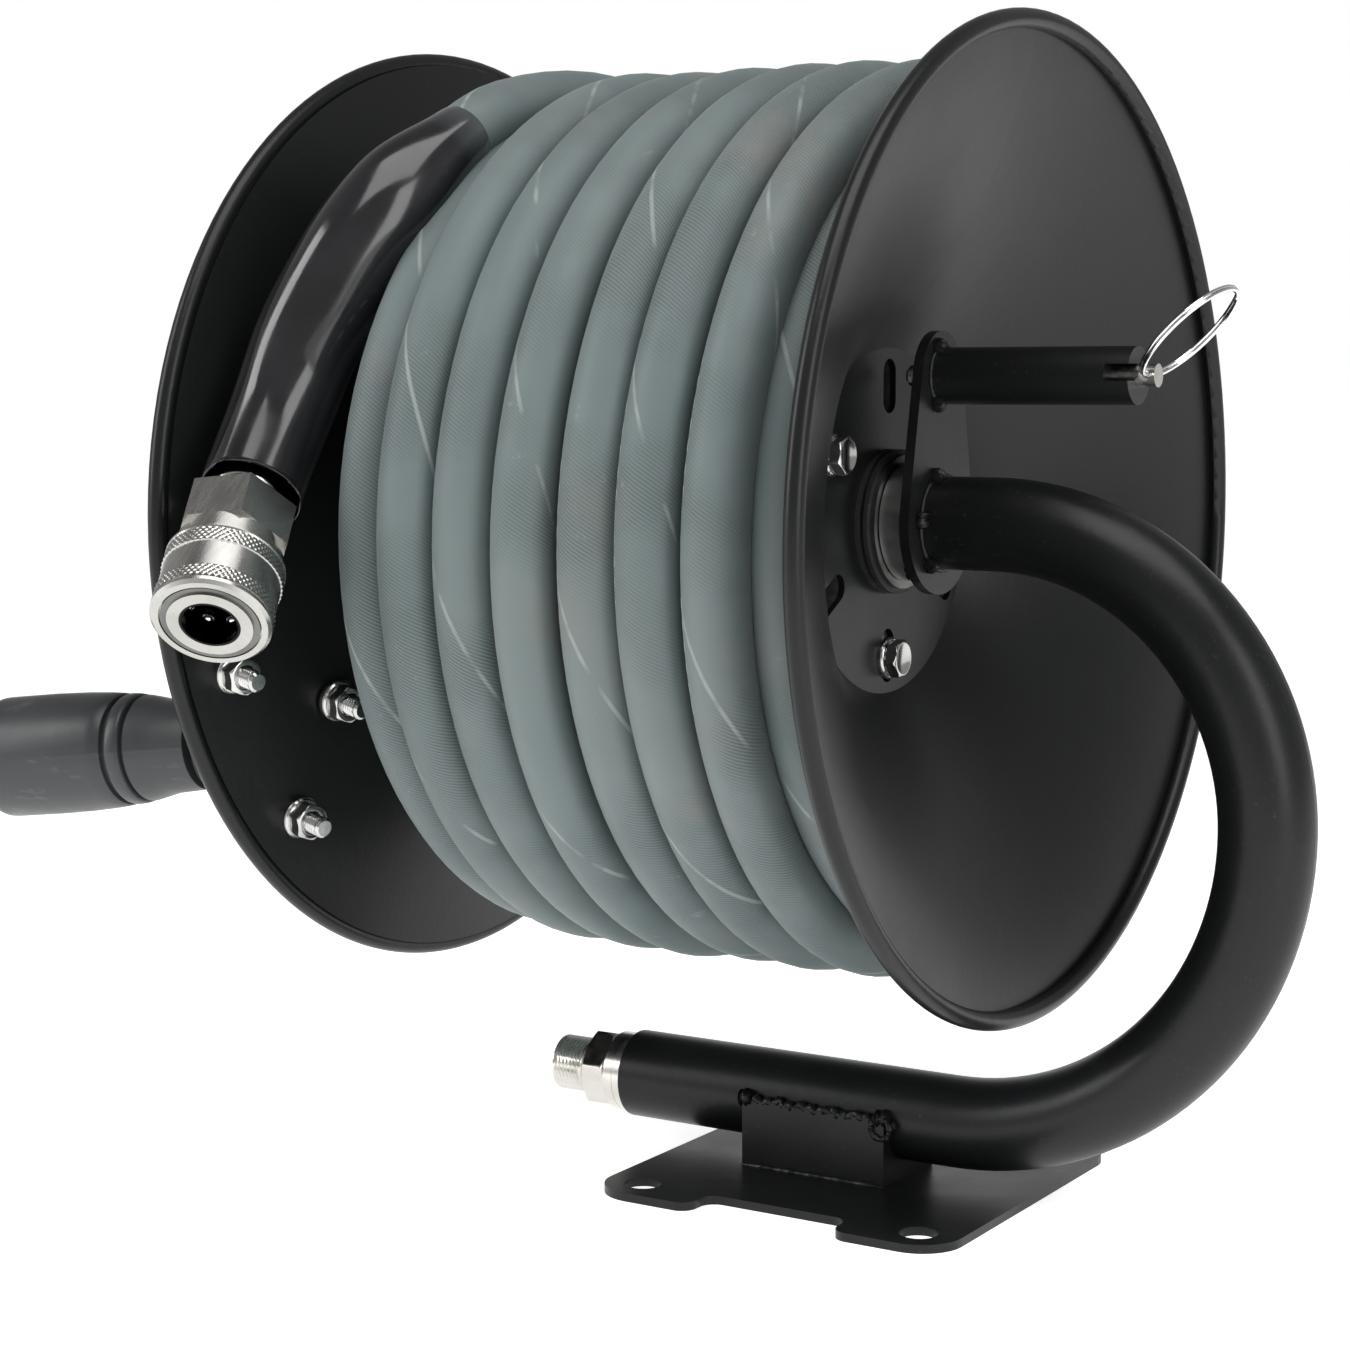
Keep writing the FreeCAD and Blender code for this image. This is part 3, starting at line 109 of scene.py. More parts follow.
def blended(table, x):
    """Row of the table's last two columns at x: straight between rows, eased in radius."""
    for low, high in zip(table, table[1:]):
        if x <= high[0]:
            part = (x - low[0]) / (high[0] - low[0])
            eased = part * part * (3 - 2 * part)
            return (low[1] + (high[1] - low[1]) * part, low[2] + (high[2] - low[2]) * eased)
    return table[-1][1], table[-1][2]


# ---------------------------------------------------------------- materials

class Material:
    """Procedural material in object coordinates, built up layer by layer."""

    def __init__(self, name):
        self.data = bpy.data.materials.new(name)
        self.data.use_nodes = True
        self.tree = self.data.node_tree
        self.shader = self.tree.nodes["Principled BSDF"]
        self.place = self.tree.nodes.new("ShaderNodeTexCoord").outputs["Object"]
        self.normal = None

    def node(self, kind, **inputs):
        """New node with some of its inputs set or linked."""
        node = self.tree.nodes.new(kind)
        for key, value in inputs.items():
            self.join(value, node.inputs[key.replace("_", " ")])
        return node

    def join(self, value, socket):
        """Link a socket, or set a plain value."""
        if isinstance(value, bpy.types.NodeSocket):
            self.tree.links.new(value, socket)
        else:
            socket.default_value = value

    def noise(self, scale, detail=4.0, rough=0.55, stretch=None):
        place = self.place
        if stretch:
            shape = self.node("ShaderNodeMapping", Vector=place)
            shape.inputs["Scale"].default_value = stretch
            place = shape.outputs[0]
        node = self.node("ShaderNodeTexNoise", Vector=place, Scale=scale, Detail=detail,
                         Roughness=rough)
        return node.outputs["Fac"]

    def mapped(self, value, low, high, to_low=0.0, to_high=1.0):
        """Value moved from one range to another, clamped."""
        node = self.tree.nodes.new("ShaderNodeMapRange")
        for index, item in enumerate((value, low, high, to_low, to_high)):
            self.join(item, node.inputs[index])
        return node.outputs[0]

    def math(self, kind, first, second=0.0):
        node = self.tree.nodes.new("ShaderNodeMath")
        node.operation = kind
        self.join(first, node.inputs[0])
        self.join(second, node.inputs[1])
        return node.outputs[0]

    def mix(self, factor, first, second):
        node = self.tree.nodes.new("ShaderNodeMix")
        node.data_type = "RGBA"
        self.join(factor, node.inputs[0])
        for index, colour in ((6, first), (7, second)):
            value = colour if isinstance(colour, bpy.types.NodeSocket) else (*colour, 1.0)
            self.join(value, node.inputs[index])
        return node.outputs[2]

    def inside(self, point, axis, radius):
        """0 within radius of the line through point along axis, 1 outside."""
        away = self.vector("SUBTRACT", self.place, point, 0)
        along = self.vector("DOT_PRODUCT", away, axis, 1)
        whole = self.vector("DOT_PRODUCT", away, away, 1)
        across = self.math("SUBTRACT", whole, self.math("MULTIPLY", along, along))
        return self.mapped(across, (radius * 0.99) ** 2, (radius * 1.01) ** 2)

    def vector(self, kind, first, second, output):
        node = self.tree.nodes.new("ShaderNodeVectorMath")
        node.operation = kind
        self.join(first, node.inputs[0])
        self.join(second, node.inputs[1])
        return node.outputs[output]

    def bump(self, height, strength, depth):
        node = self.node("ShaderNodeBump", Height=height, Strength=strength, Distance=depth)
        if self.normal is not None:
            self.tree.links.new(self.normal, node.inputs["Normal"])
        self.normal = node.outputs[0]

    def done(self, colour, rough, metal=0.0, coat=0.0, sheen=0.0):
        """Set what is left on the shader and give back the material."""
        self.join(colour, self.shader.inputs["Base Color"])
        self.join(rough, self.shader.inputs["Roughness"])
        self.shader.inputs["Metallic"].default_value = metal
        self.shader.inputs["Coat Weight"].default_value = coat
        self.shader.inputs["Coat Roughness"].default_value = 0.08
        self.shader.inputs["Sheen Weight"].default_value = sheen
        if self.normal is not None:
            self.tree.links.new(self.normal, self.shader.inputs["Normal"])
        return self.data


def powder_coat(name, dark, light, low, high, dusty):
    """Satin powder coat: orange peel, faint clouds of tone and a little dust."""
    coat = Material(name)
    clouds = coat.noise(9.0, 3.0)
    tone = coat.mix(coat.mapped(clouds, 0.35, 0.7), dark, light)
    dust = coat.mapped(coat.noise(900.0, 2.0), 0.66, 0.74)
    tone = coat.mix(coat.math("MULTIPLY", dust, dusty), tone, (0.08, 0.085, 0.09))
    coat.bump(coat.noise(520.0, 2.0), 0.08, 0.0005)
    coat.bump(coat.noise(60.0, 2.0), 0.04, 0.002)
    coat.shader.inputs["Specular IOR Level"].default_value = 0.32
    return coat.done(tone, coat.mapped(coat.noise(26.0, 4.0), 0.3, 0.7, low, high))


def bright_metal(name, dark, light, low, high, brush=None, depth=0.0002, shaded_bore=None):
    """Plated or brushed steel: fine marks, clouded reflections, darker specks; painted shade,
    near black, inside the bore, if one is given as (point, axis, radius)."""
    metal = Material(name)
    marks = metal.noise(700.0, 3.0, 0.6, brush) if brush else metal.noise(240.0, 5.0)
    clouds = metal.noise(70.0, 4.0)
    tone = metal.mix(metal.mapped(clouds, 0.3, 0.7), dark, light)
    specks = metal.mapped(metal.noise(1500.0, 2.0), 0.70, 0.78)
    tone = metal.mix(metal.math("MULTIPLY", specks, 0.25), tone, (0.16, 0.15, 0.14))
    if shaded_bore:
        # painted shade: everything within the bore's radius is coloured near black
        tone = metal.mix(metal.inside(*shaded_bore), (0.012, 0.012, 0.012), tone)
    metal.bump(marks, 0.08, depth)
    return metal.done(tone, metal.mapped(marks, 0.25, 0.75, low, high), 1.0)


def moulded(name, dark, light, low, high, grain=420.0):
    """Moulded plastic or rubber: fine grain, scuffs and slight mottling."""
    plastic = Material(name)
    tone = plastic.mix(plastic.mapped(plastic.noise(35.0, 5.0), 0.3, 0.7), dark, light)
    scuffs = plastic.mapped(plastic.noise(90.0, 6.0, 0.6, (1.0, 0.2, 3.0)), 0.58, 0.72)
    tone = plastic.mix(plastic.math("MULTIPLY", scuffs, 0.3), tone, (0.16, 0.18, 0.2))
    plastic.bump(plastic.noise(grain, 3.0), 0.12, 0.0005)
    return plastic.done(tone, plastic.mapped(plastic.noise(50.0, 4.0), 0.3, 0.7, low, high))


def hose_cover():
    """Wrapped rubber cover: cloth marks in patches, seams, brown smudges, a dashed line."""
    hose = Material("hose_rubber")
    uv = hose.tree.nodes.new("ShaderNodeUVMap")
    split = hose.node("ShaderNodeSeparateXYZ", Vector=uv.outputs[0])
    along, around = split.outputs[0], split.outputs[1]

    def stripes(per_metre, per_turn, low, high):
        phase = hose.math("ADD", hose.math("MULTIPLY", along, per_metre),
                          hose.math("MULTIPLY", around, per_turn))
        wave = hose.math("SINE", hose.math("MULTIPLY", phase, 2 * math.pi))
        return hose.mapped(wave, low, high)

    patches = hose.mapped(hose.noise(16.0, 3.0), 0.42, 0.58)
    cloth = hose.math("MULTIPLY", stripes(980.0, 30.0, -1.0, 1.0), patches)
    smooth = hose.mix(hose.mapped(hose.noise(11.0, 4.0), 0.3, 0.7),
                      (0.110, 0.143, 0.143), (0.146, 0.179, 0.177))
    tone = hose.mix(hose.math("MULTIPLY", cloth, 0.8), smooth, (0.060, 0.080, 0.080))
    brown = hose.mapped(hose.noise(23.0, 6.0, 0.6), 0.56, 0.7)
    tone = hose.mix(hose.math("MULTIPLY", brown, 0.4), tone, (0.185, 0.168, 0.15))
    seam = hose.math("MULTIPLY", stripes(8.5, 1.0, 0.996, 0.9995),
                     hose.mapped(hose.noise(60.0, 3.0), 0.42, 0.56))
    tone = hose.mix(hose.math("MULTIPLY", seam, 0.5), tone, (0.36, 0.39, 0.375))
    scratch = hose.mapped(hose.noise(130.0, 5.0, 0.7, (1.0, 0.08, 1.0)), 0.66, 0.72)
    tone = hose.mix(hose.math("MULTIPLY", scratch, 0.25), tone, (0.3, 0.33, 0.32))
    drift = hose.math("SINE", hose.math("MULTIPLY", along, 2.1))
    drift = hose.math("MULTIPLY", drift, 0.012)
    line = hose.math("COMPARE", hose.math("ADD", around, drift), 0.152)
    line.node.inputs[2].default_value = 0.0075
    dash = hose.math("MULTIPLY", line, stripes(185.0, 0.0, 0.0, 0.15))
    worn = hose.mapped(hose.noise(31.0, 4.0), 0.47, 0.53)
    tone = hose.mix(hose.math("MULTIPLY", hose.math("MULTIPLY", dash, worn), 0.85), tone,
                    (0.62, 0.66, 0.64))
    hose.bump(cloth, 0.3, 0.0003)
    hose.bump(seam, 0.2, 0.0004)
    hose.bump(hose.noise(45.0, 3.0), 0.12, 0.002)
    return hose.done(tone, hose.mapped(hose.noise(20.0, 4.0), 0.3, 0.7, 0.48, 0.66),
                     sheen=0.08)


def sleeve_vinyl():
    """Glossy black vinyl, thin and greyish where it is drawn tight at its top end."""
    vinyl = Material("black_vinyl")
    uv = vinyl.tree.nodes.new("ShaderNodeUVMap")
    split = vinyl.node("ShaderNodeSeparateXYZ", Vector=uv.outputs[0])
    thin = vinyl.mapped(split.outputs[0], 0.012, 0.002)
    tone = vinyl.mix(vinyl.mapped(vinyl.noise(40.0, 3.0), 0.3, 0.7),
                     (0.006, 0.006, 0.007), (0.013, 0.013, 0.015))
    tone = vinyl.mix(vinyl.math("MULTIPLY", thin, 0.5), tone, (0.10, 0.115, 0.12))
    vinyl.bump(vinyl.noise(22.0, 2.0), 0.12, 0.0016)
    vinyl.bump(vinyl.noise(600.0, 2.0), 0.04, 0.0003)
    return vinyl.done(tone, vinyl.mapped(vinyl.noise(90.0, 4.0), 0.3, 0.7, 0.10, 0.22),
                      coat=0.3)


PAINT = powder_coat("black_powder_coat", (0.005, 0.0054, 0.0058), (0.0075, 0.008, 0.0085),
                    0.30, 0.40, 0.25)
SHEET_PAINT = powder_coat("flange_powder_coat", (0.0045, 0.005, 0.0052),
                          (0.006, 0.0064, 0.0067), 0.30, 0.36, 0.10)
ZINC = bright_metal("bright_zinc", (0.44, 0.44, 0.43), (0.60, 0.60, 0.58), 0.10, 0.22)
DULL_STEEL = bright_metal("dull_steel", (0.12, 0.12, 0.12), (0.20, 0.20, 0.19), 0.25, 0.4)
NICKEL = bright_metal("nickel", (0.62, 0.60, 0.56), (0.76, 0.74, 0.69), 0.14, 0.30)
CHROME = bright_metal("ring_nickel", (0.78, 0.78, 0.79), (0.88, 0.88, 0.89), 0.05, 0.12)
STAINLESS = bright_metal("stainless", (0.40, 0.395, 0.375), (0.50, 0.49, 0.465), 0.20, 0.32,
                         (1.0, 0.12, 0.2))
# coupler socket steel with painted shade, near black, inside its bore
SOCKET = bright_metal("socket_stainless", (0.40, 0.395, 0.375), (0.50, 0.49, 0.465), 0.20,
                      0.32, (1.0, 0.12, 0.2),
                      shaded_bore=(SPIN + COUPLER_FACE * MM, COUPLER_BACK, BORE_RADIUS * MM))
STEEL = bright_metal("bare_steel", (0.40, 0.40, 0.40), (0.55, 0.55, 0.54), 0.28, 0.45)
BRASS = bright_metal("brass", (0.60, 0.44, 0.19), (0.72, 0.55, 0.27), 0.22, 0.36)
RUBBER = moulded("black_rubber", (0.012, 0.012, 0.012), (0.022, 0.022, 0.022), 0.5, 0.7)
BEARING = moulded("bearing_plastic", (0.70, 0.69, 0.65), (0.8, 0.79, 0.75), 0.35, 0.5)
GRIP = moulded("grip_plastic", (0.026, 0.0275, 0.029), (0.036, 0.038, 0.040), 0.34, 0.46)
VINYL = sleeve_vinyl()
HOSE = hose_cover()

CAD_FINISH = {
    "base_plate": PAINT, "saddle": PAINT, "arm_pipe": PAINT, "lock_bracket": PAINT,
    "lock_barrel": PAINT, "flange_right": SHEET_PAINT, "flange_left": SHEET_PAINT,
    "drum": SHEET_PAINT, "crank_plate": PAINT, "crank_spacers": PAINT,
    "inlet_rings": NICKEL, "spindle": STEEL, "thrust_washer": STEEL, "spring_clip": STEEL,
    "hub_bush": BEARING, "hub_housing": STEEL, "outlet_pipe": BRASS, "hub_ring": RUBBER,
    "face_ring": DULL_STEEL, "hub_seal": RUBBER, "hub_plug": ZINC, "grip_spindle": STEEL,
    "lock_pin": NICKEL, "lock_spring": STEEL, "coupler_body": SOCKET,
    "coupler_balls": CHROME, "coupler_seal": RUBBER, "coupler_snap_ring": DULL_STEEL,
    "coupler_spring": STEEL, "crank_washers": ZINC}


def paint_cad_nodes():
    """Detailed materials on the nodes whose CAD mesh stays visible."""
    for name, material in CAD_FINISH.items():
        slots = frame["nodes"][name].data.materials
        slots.clear()
        slots.append(material)


# ---------------------------------------------------------------- mesh makers

def mesh_piece(name, points, faces, uvs, material, smooth=True, crease=35.0):
    """Object from points and faces, with one uv pair for each point of each face."""
    data = bpy.data.meshes.new(name)
    data.from_pydata([tuple(point) for point in points], [], faces)
    layer = data.uv_layers.new(name="UVMap")
    flat = [value for face in uvs for pair in face for value in pair]
    layer.data.foreach_set("uv", flat)
    data.polygons.foreach_set("use_smooth", [smooth] * len(faces))
    data.materials.append(material)
    data.update()
    piece = bpy.data.objects.new(name, data)
    bpy.context.scene.collection.objects.link(piece)
    if smooth:
        data.set_sharp_from_angle(angle=math.radians(crease))
    return piece


def grid_faces(rows, columns, lengths):
    """Faces and uvs of rows rings of columns points each, closed round."""
    faces, uvs = [], []
    for row in range(rows - 1):
        low, high = row * columns, (row + 1) * columns
        for column in range(columns):
            after = (column + 1) % columns
            faces.append((low + column, low + after, high + after, high + column))
            one, two = column / columns, (column + 1) / columns
            uvs.append(((lengths[row], one), (lengths[row], two),
                        (lengths[row + 1], two), (lengths[row + 1], one)))
    return faces, uvs


def tube(name, line, half, material, columns=20, side=None, capped=False):
    """Round or oval skin along a line; half(part, angle) is its half width in metres."""
    points, lengths = [], []
    run = 0.0
    for index, centre in enumerate(line):
        before = line[max(index - 1, 0)]
        after = line[min(index + 1, len(line) - 1)]
        way = (after - before).normalized()
        out = side(centre)
        out = (out - way * out.dot(way)).normalized()
        across = way.cross(out)
        if index:
            run += (centre - before).length
        lengths.append(run)
        for column in range(columns):
            angle = 2 * math.pi * column / columns
            ring = half(index / (len(line) - 1), angle)
            points.append(centre + out * math.cos(angle) * ring[0]
                          + across * math.sin(angle) * ring[1])
    faces, uvs = grid_faces(len(line), columns, lengths)
    if capped:
        for start in (0, (len(line) - 1) * columns):
            ends = list(range(start, start + columns))
            faces.append(ends if start else ends[::-1])
            uvs.append([(0.0, 0.0)] * columns)
    return mesh_piece(name, points, faces, uvs, material), run


def radial(point):
    """Unit vector from the spin axis to a point."""
    away = point - SPIN
    return Vector((0.0, away.y, away.z)).normalized()


def revolved(name, rings, pose, material, columns=96, crease=35.0):
    """Turned piece: rings are (station, radius), a radius being a number or a function of
    the angle, in millimetres, on the pose's X axis."""
    points, lengths = [], []
    run = 0.0
    last = None
    for station, radius in rings:
        usual = radius if isinstance(radius, (int, float)) else radius(0.0)
        if last is not None:
            run += math.hypot(station - last[0], usual - last[1]) * MM
        last = (station, usual)
        lengths.append(run)
        for column in range(columns):
            angle = 2 * math.pi * column / columns
            reach = radius if isinstance(radius, (int, float)) else radius(angle)
            spot = Vector((station, reach * math.cos(angle), reach * math.sin(angle)))
            points.append(pose @ (spot * MM))
    faces, uvs = grid_faces(len(rings), columns, lengths)
    for start in (0, (len(rings) - 1) * columns):
        ends = list(range(start, start + columns))
        first_radius = rings[0 if start == 0 else -1][1]
        if first_radius == 0.01:
            faces.append(ends if start else ends[::-1])
            uvs.append([(0.0, 0.0)] * columns)
    return mesh_piece(name, points, faces, uvs, material, crease=crease)


def hex_reach(flats, limit, turn=0.0):
    """Radius of a hexagon as a function of angle, cut by a cone of radius limit."""
    def reach(angle):
        part = (angle + turn) % (math.pi / 3) - math.pi / 6
        return min(flats / 2 / math.cos(part), limit)
    return reach


def hex_rings(flats, start, end, turn=0.0, depth=0.9, steps=4):
    """Rings of a hexagonal prism with turned chamfers at both ends."""
    corner = flats / 2 / math.cos(math.pi / 6)
    slim = flats / 2 - 0.2
    rings = []
    for step in range(steps + 1):
        part = step / steps
        rings.append((start + depth * part,
                      hex_reach(flats, slim + (corner - slim) * part, turn)))
    for step in range(steps + 1):
        part = step / steps
        rings.append((end - depth * (1 - part),
                      hex_reach(flats, corner + (slim - corner) * part, turn)))
    return rings


def bead(name, line, radius, material, seed=0.0, closed=False):
    """Weld bead along a line: overlapping ripples, uneven width."""
    def half(part, angle):
        s = part * len(line) * 0.4 + seed
        swell = 1.0 + 0.16 * math.sin(s * 2.1) + 0.12 * math.sin(s * 5.3 + 1.7)
        swell += 0.10 * math.sin(s * 9.7 + angle)
        taper = 1.0 if closed else min(1.0, 0.35 + 8.0 * min(part, 1 - part))
        return (radius * swell * taper, radius * swell * taper)
    piece, _ = tube(name, line, half, material, 12, lambda point: Vector((0.3, 0.2, 1.0)),
                    not closed)
    return piece


def join(name, pieces):
    """One object from several."""
    for piece in bpy.context.selected_objects:
        piece.select_set(False)
    for piece in pieces:
        piece.select_set(True)
    bpy.context.view_layer.objects.active = pieces[0]
    bpy.ops.object.join()
    pieces[0].name = name
    return pieces[0]


# ---------------------------------------------------------------- camera, light, floor

def camera():
    """The photo's view."""
    data = bpy.data.cameras.new("photo_camera")
    data.lens = 73.76
    data.sensor_width = 36.0
    eye = bpy.data.objects.new("photo_camera", data)
    eye.location = (0.3797, -0.7141, 0.2349)
    eye.rotation_euler = (math.radians(84.009), 0.0, math.radians(31.867))
    bpy.context.scene.collection.objects.link(eye)
    bpy.context.scene.camera = eye


def soft_light(name, place, target, width, height, power):
    """Rectangular lamp aimed at a point."""
    data = bpy.data.lights.new(name, "AREA")
    data.shape = "RECTANGLE"
    data.size, data.size_y, data.energy = width, height, power
    lamp = bpy.data.objects.new(name, data)
    lamp.location = place
    lamp.rotation_euler = (Vector(target) - Vector(place)).to_track_quat("-Z", "Y").to_euler()
    bpy.context.scene.collection.objects.link(lamp)


def studio():
    """Three soft lamps, a world that is white behind the reel, and a white floor."""
    middle = (0.0, 0.0, 0.18)
    soft_light("overhead", (0.25, -0.35, 1.25), middle, 1.1, 0.8, 9.0)
    soft_light("left", (-1.05, -0.95, 0.75), middle, 0.5, 1.0, 8.0)
    soft_light("right", (1.25, -0.55, 0.65), middle, 0.5, 1.0, 6.0)
    world = bpy.data.worlds.new("studio")
    world.use_nodes = True
    tree = world.node_tree
    place = tree.nodes.new("ShaderNodeTexCoord")
    split = tree.nodes.new("ShaderNodeSeparateXYZ")
    tree.links.new(place.outputs["Generated"], split.inputs[0])
    backdrop = tree.nodes.new("ShaderNodeVectorMath")
    backdrop.operation = "DOT_PRODUCT"
    backdrop.inputs[1].default_value = CAMERA_WAY
    tree.links.new(place.outputs["Generated"], backdrop.inputs[0])
    shades = []
    for output, low, high, dim, bright in ((split.outputs[2], 0.85, 0.5, 0.5, 1.0),
                                           (backdrop.outputs[1], 0.86, 0.93, 0.36, 1.0)):
        shade = tree.nodes.new("ShaderNodeMapRange")
        for index, value in enumerate((low, high, dim, bright), 1):
            shade.inputs[index].default_value = value
        tree.links.new(output, shade.inputs[0])
        shades.append(shade.outputs[0])
    strength = tree.nodes.new("ShaderNodeMath")
    strength.operation = "MULTIPLY"
    for index, shade in enumerate(shades):
        tree.links.new(shade, strength.inputs[index])
    sky = tree.nodes["Background"]
    sky.inputs["Color"].default_value = (1.0, 1.0, 1.0, 1.0)
    tree.links.new(strength.outputs[0], sky.inputs["Strength"])
    bpy.context.scene.world = world
    floor = Material("floor_white")
    tone = floor.mix(floor.mapped(floor.noise(3.0, 2.0), 0.3, 0.7), (0.88, 0.88, 0.88),
                     (0.91, 0.91, 0.91))
    white = floor.done(tone, 0.6)
    floor.join(tone, floor.shader.inputs["Emission Color"])
    floor.shader.inputs["Emission Strength"].default_value = 0.85
    side = 40.0
    corners = [(-side, -side, 0), (side, -side, 0), (side, side, 0), (-side, side, 0)]
    plane = mesh_piece("floor", corners, [(0, 1, 2, 3)],
                       [[(0, 0), (1, 0), (1, 1), (0, 1)]], white, False)
    bpy.context.scene.view_settings.view_transform = "Standard"


# ---------------------------------------------------------------- hose, sleeve, coupler

def hose_line():
    """Centre of the hose, read from one NURBS line through the winding and the loose end."""
    swell = 1.0 / math.cos(math.pi / POINTS_PER_TURN)
    spots = []
    for index in range(int(WINDING[-1][0] * POINTS_PER_TURN) + 1):
        turns = index / POINTS_PER_TURN
        station, reach = blended(WINDING, turns)
        station += 0.6 * math.sin(2.3 * turns + 1.3) + 0.3 * math.sin(7.1 * turns)
        reach += 0.35 * math.sin(3.7 * turns) + 0.2 * math.sin(11.3 * turns + 0.4)
        angle = 2 * math.pi * turns
        spots.append(at(station, -reach * swell * math.sin(angle),
                        reach * swell * math.cos(angle)))
    spots += [at(*point) for point in TAIL_ROUTE]
    curve = bpy.data.curves.new("hose_line", "CURVE")
    curve.dimensions = "3D"
    spline = curve.splines.new("NURBS")
    spline.points.add(len(spots) - 1)
    for point, spot in zip(spline.points, spots):
        point.co = (*spot, 1.0)
    spline.order_u = 3
    spline.use_endpoint_u = True
    spline.resolution_u = 4
    holder = bpy.data.objects.new("hose_line", curve)
    bpy.context.scene.collection.objects.link(holder)
    bpy.context.view_layer.update()
    mesh = bpy.data.meshes.new_from_object(holder)
    line = [vertex.co.copy() for vertex in mesh.vertices]
    bpy.data.objects.remove(holder)
    bpy.data.meshes.remove(mesh)
    return line


def hose():
    """One skin along the whole hose."""
    line = hose_line()
    skin, length = tube("hose", line, lambda part, angle: (HOSE_RADIUS * MM,) * 2, HOSE, 24,
                        radial, True)
    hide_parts("hose_coil", "hose_tail")
    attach(skin, "reel")
    return skin, line, length


def sleeve(line):
    """Loose vinyl sleeve, drawn tight at the top, open over the coupler's end."""
    total = 0.0
    covered = []
    for low, high in zip(line[::-1], line[-2::-1]):
        total += (high - low).length
        if total > SLEEVE_LENGTH:
            break
        share = min(1.0, (SLEEVE_LENGTH - total) / 0.06)
        covered.append(low + X_AXIS * SLEEVE_SHIFT * MM * share)
    covered.reverse()
    covered.append(covered[-1] - COUPLER_BACK * 2.0 * MM)

    def side(point):
        return (X_AXIS * -0.94 + radial(point) * -0.34)

    def half(part, angle):
        grow = min(1.0, part / 0.30)
        grow = grow * grow * (3 - 2 * grow)
        close = max(0.0, part - 0.6) / 0.4
        fold = 0.2 * math.sin(part * 23.0 + 2.0 * math.sin(angle)) * grow
        flat = SLEEVE_TIGHT + (SLEEVE_LOOSE[0] - SLEEVE_TIGHT) * grow - 1.0 * close + fold
        wide = SLEEVE_TIGHT + (SLEEVE_LOOSE[1] - SLEEVE_TIGHT) * grow - 1.4 * close + fold
        return (flat * MM, wide * MM)

    skin, _ = tube("sleeve", covered, half, VINYL, 40, side)
    wall = skin.modifiers.new("wall", "SOLIDIFY")
    wall.thickness = 0.9 * MM
    wall.offset = -1.0
    smooth = skin.modifiers.new("smooth", "SUBSURF")
    smooth.levels = 1
    smooth.render_levels = 1
    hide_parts("hose_sleeve")
    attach(skin, "reel")
    return skin


def coupler_collar():
    """Sliding collar with two knurled bands and a plain band between them."""
    def knurl(station):
        def reach(angle):
            one = abs((angle * KNURL_TEETH / math.pi + station * 1.1) % 2 - 1)
            two = abs((angle * KNURL_TEETH / math.pi - station * 1.1) % 2 - 1)
            return COLLAR_RADIUS - KNURL_DEPTH * max(one, two)
        return reach

    def band(start, count):
        return [(start + KNURL_STEP * step, knurl(KNURL_STEP * step)) for step in range(count)]

    pose = pose_along(SPIN + COUPLER_FACE * MM, COUPLER_BACK)
    rings = [(7.0, 11.65), (2.0, 11.65), (2.0, 13.8), (0.5, 13.8), (0.5, 15.5), (1.4, 16.4),
             (2.4, 16.45), (2.5, 16.1), (3.0, 16.1)]
    rings += band(3.0, 17)
    rings += [(7.3, 16.0), (7.6, 16.0), (15.4, 16.0), (15.7, 16.0)]
    rings += band(15.9, 19)
    rings += [(20.6, 16.1), (21.0, 16.4), (21.6, 16.4), (22.0, 15.9), (22.0, 14.5),
              (7.0, 14.5)]
    collar = revolved("coupler_collar_knurled", rings, pose, STAINLESS, 480, 30.0)
    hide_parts("coupler_collar")
    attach(collar, "collar")
    return collar


def hose_end():
    """Hexagon and crimped shell on the hose's end, inside the sleeve's mouth."""
    pose = pose_along(SPIN + COUPLER_FACE * MM, COUPLER_BACK)
    rings = [(42.0, 4.4)] + hex_rings(19.6, 42.0, 47.0, 0.3, 0.8)
    rings += [(47.2, 9.5), (47.6, 9.9), (48.4, 10.1), (56.0, 10.1), (56.5, 9.0)]
    shell = revolved("hose_end_shell", rings, pose, ZINC, 72)
    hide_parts("hose_ferrule")
    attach(shell, "reel")
    return shell


# ---------------------------------------------------------------- small hardware

def split_ring():
    """Two turns of wire pressed together, through the lock pin's cross hole."""
    low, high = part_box("split_ring")
    centre = (Vector(low) + Vector(high)) / 2
    tilt = math.radians(PULL_RING_TILT)
    right = Vector((math.cos(tilt), 0.0, math.sin(tilt)))
    back = Vector((0.0, 1.0, 0.0))
    axis = right.cross(back)
    line = []
    steps = 180
    for index in range(steps + 1):
        part = index / steps
        angle = math.radians(35.0) + 2 * math.pi * 1.97 * part
        step = min(1.0, max(0.0, (part - 0.46) / 0.08))
        lift = (step * step * (3 - 2 * step) - 0.5) * 1.0
        spoke = right * math.cos(angle) + back * math.sin(angle)
        line.append(centre + spoke * PULL_RING_RADIUS * MM + axis * lift * MM)
    ring, _ = tube("pull_ring_wire", line, lambda part, angle: (0.52 * MM, 0.62 * MM), CHROME,
                   12, lambda point: axis, True)
    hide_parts("split_ring")
    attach(ring, "pull_ring")


def hub_bolts():
    """Flange bolts in three of the slots on each side."""
    for label, way in (("right", 1.0), ("left", -1.0)):
        heads = []
        for angle in BOLT_ANGLES:
            turn = math.radians(angle)
            spot = at(way * HUB_FLAT, -BOLT_CIRCLE * math.cos(turn),
                      BOLT_CIRCLE * math.sin(turn))
            rings = [(0.0, 0.01), (0.0, 6.1), (0.5, 6.2), (1.0, 6.1), (1.5, 5.6)]
            rings += hex_rings(10.0, 1.5, 5.4, angle, 0.6)
            rings += [(5.4, 4.4), (5.1, 3.9), (5.1, 0.01)]
            heads.append(revolved("head", rings, pose_along(spot, X_AXIS * way), ZINC, 72))
        piece = join("hub_bolt_heads_" + label, heads)
        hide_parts("hub_bolts_" + label)
        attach(piece, "reel")


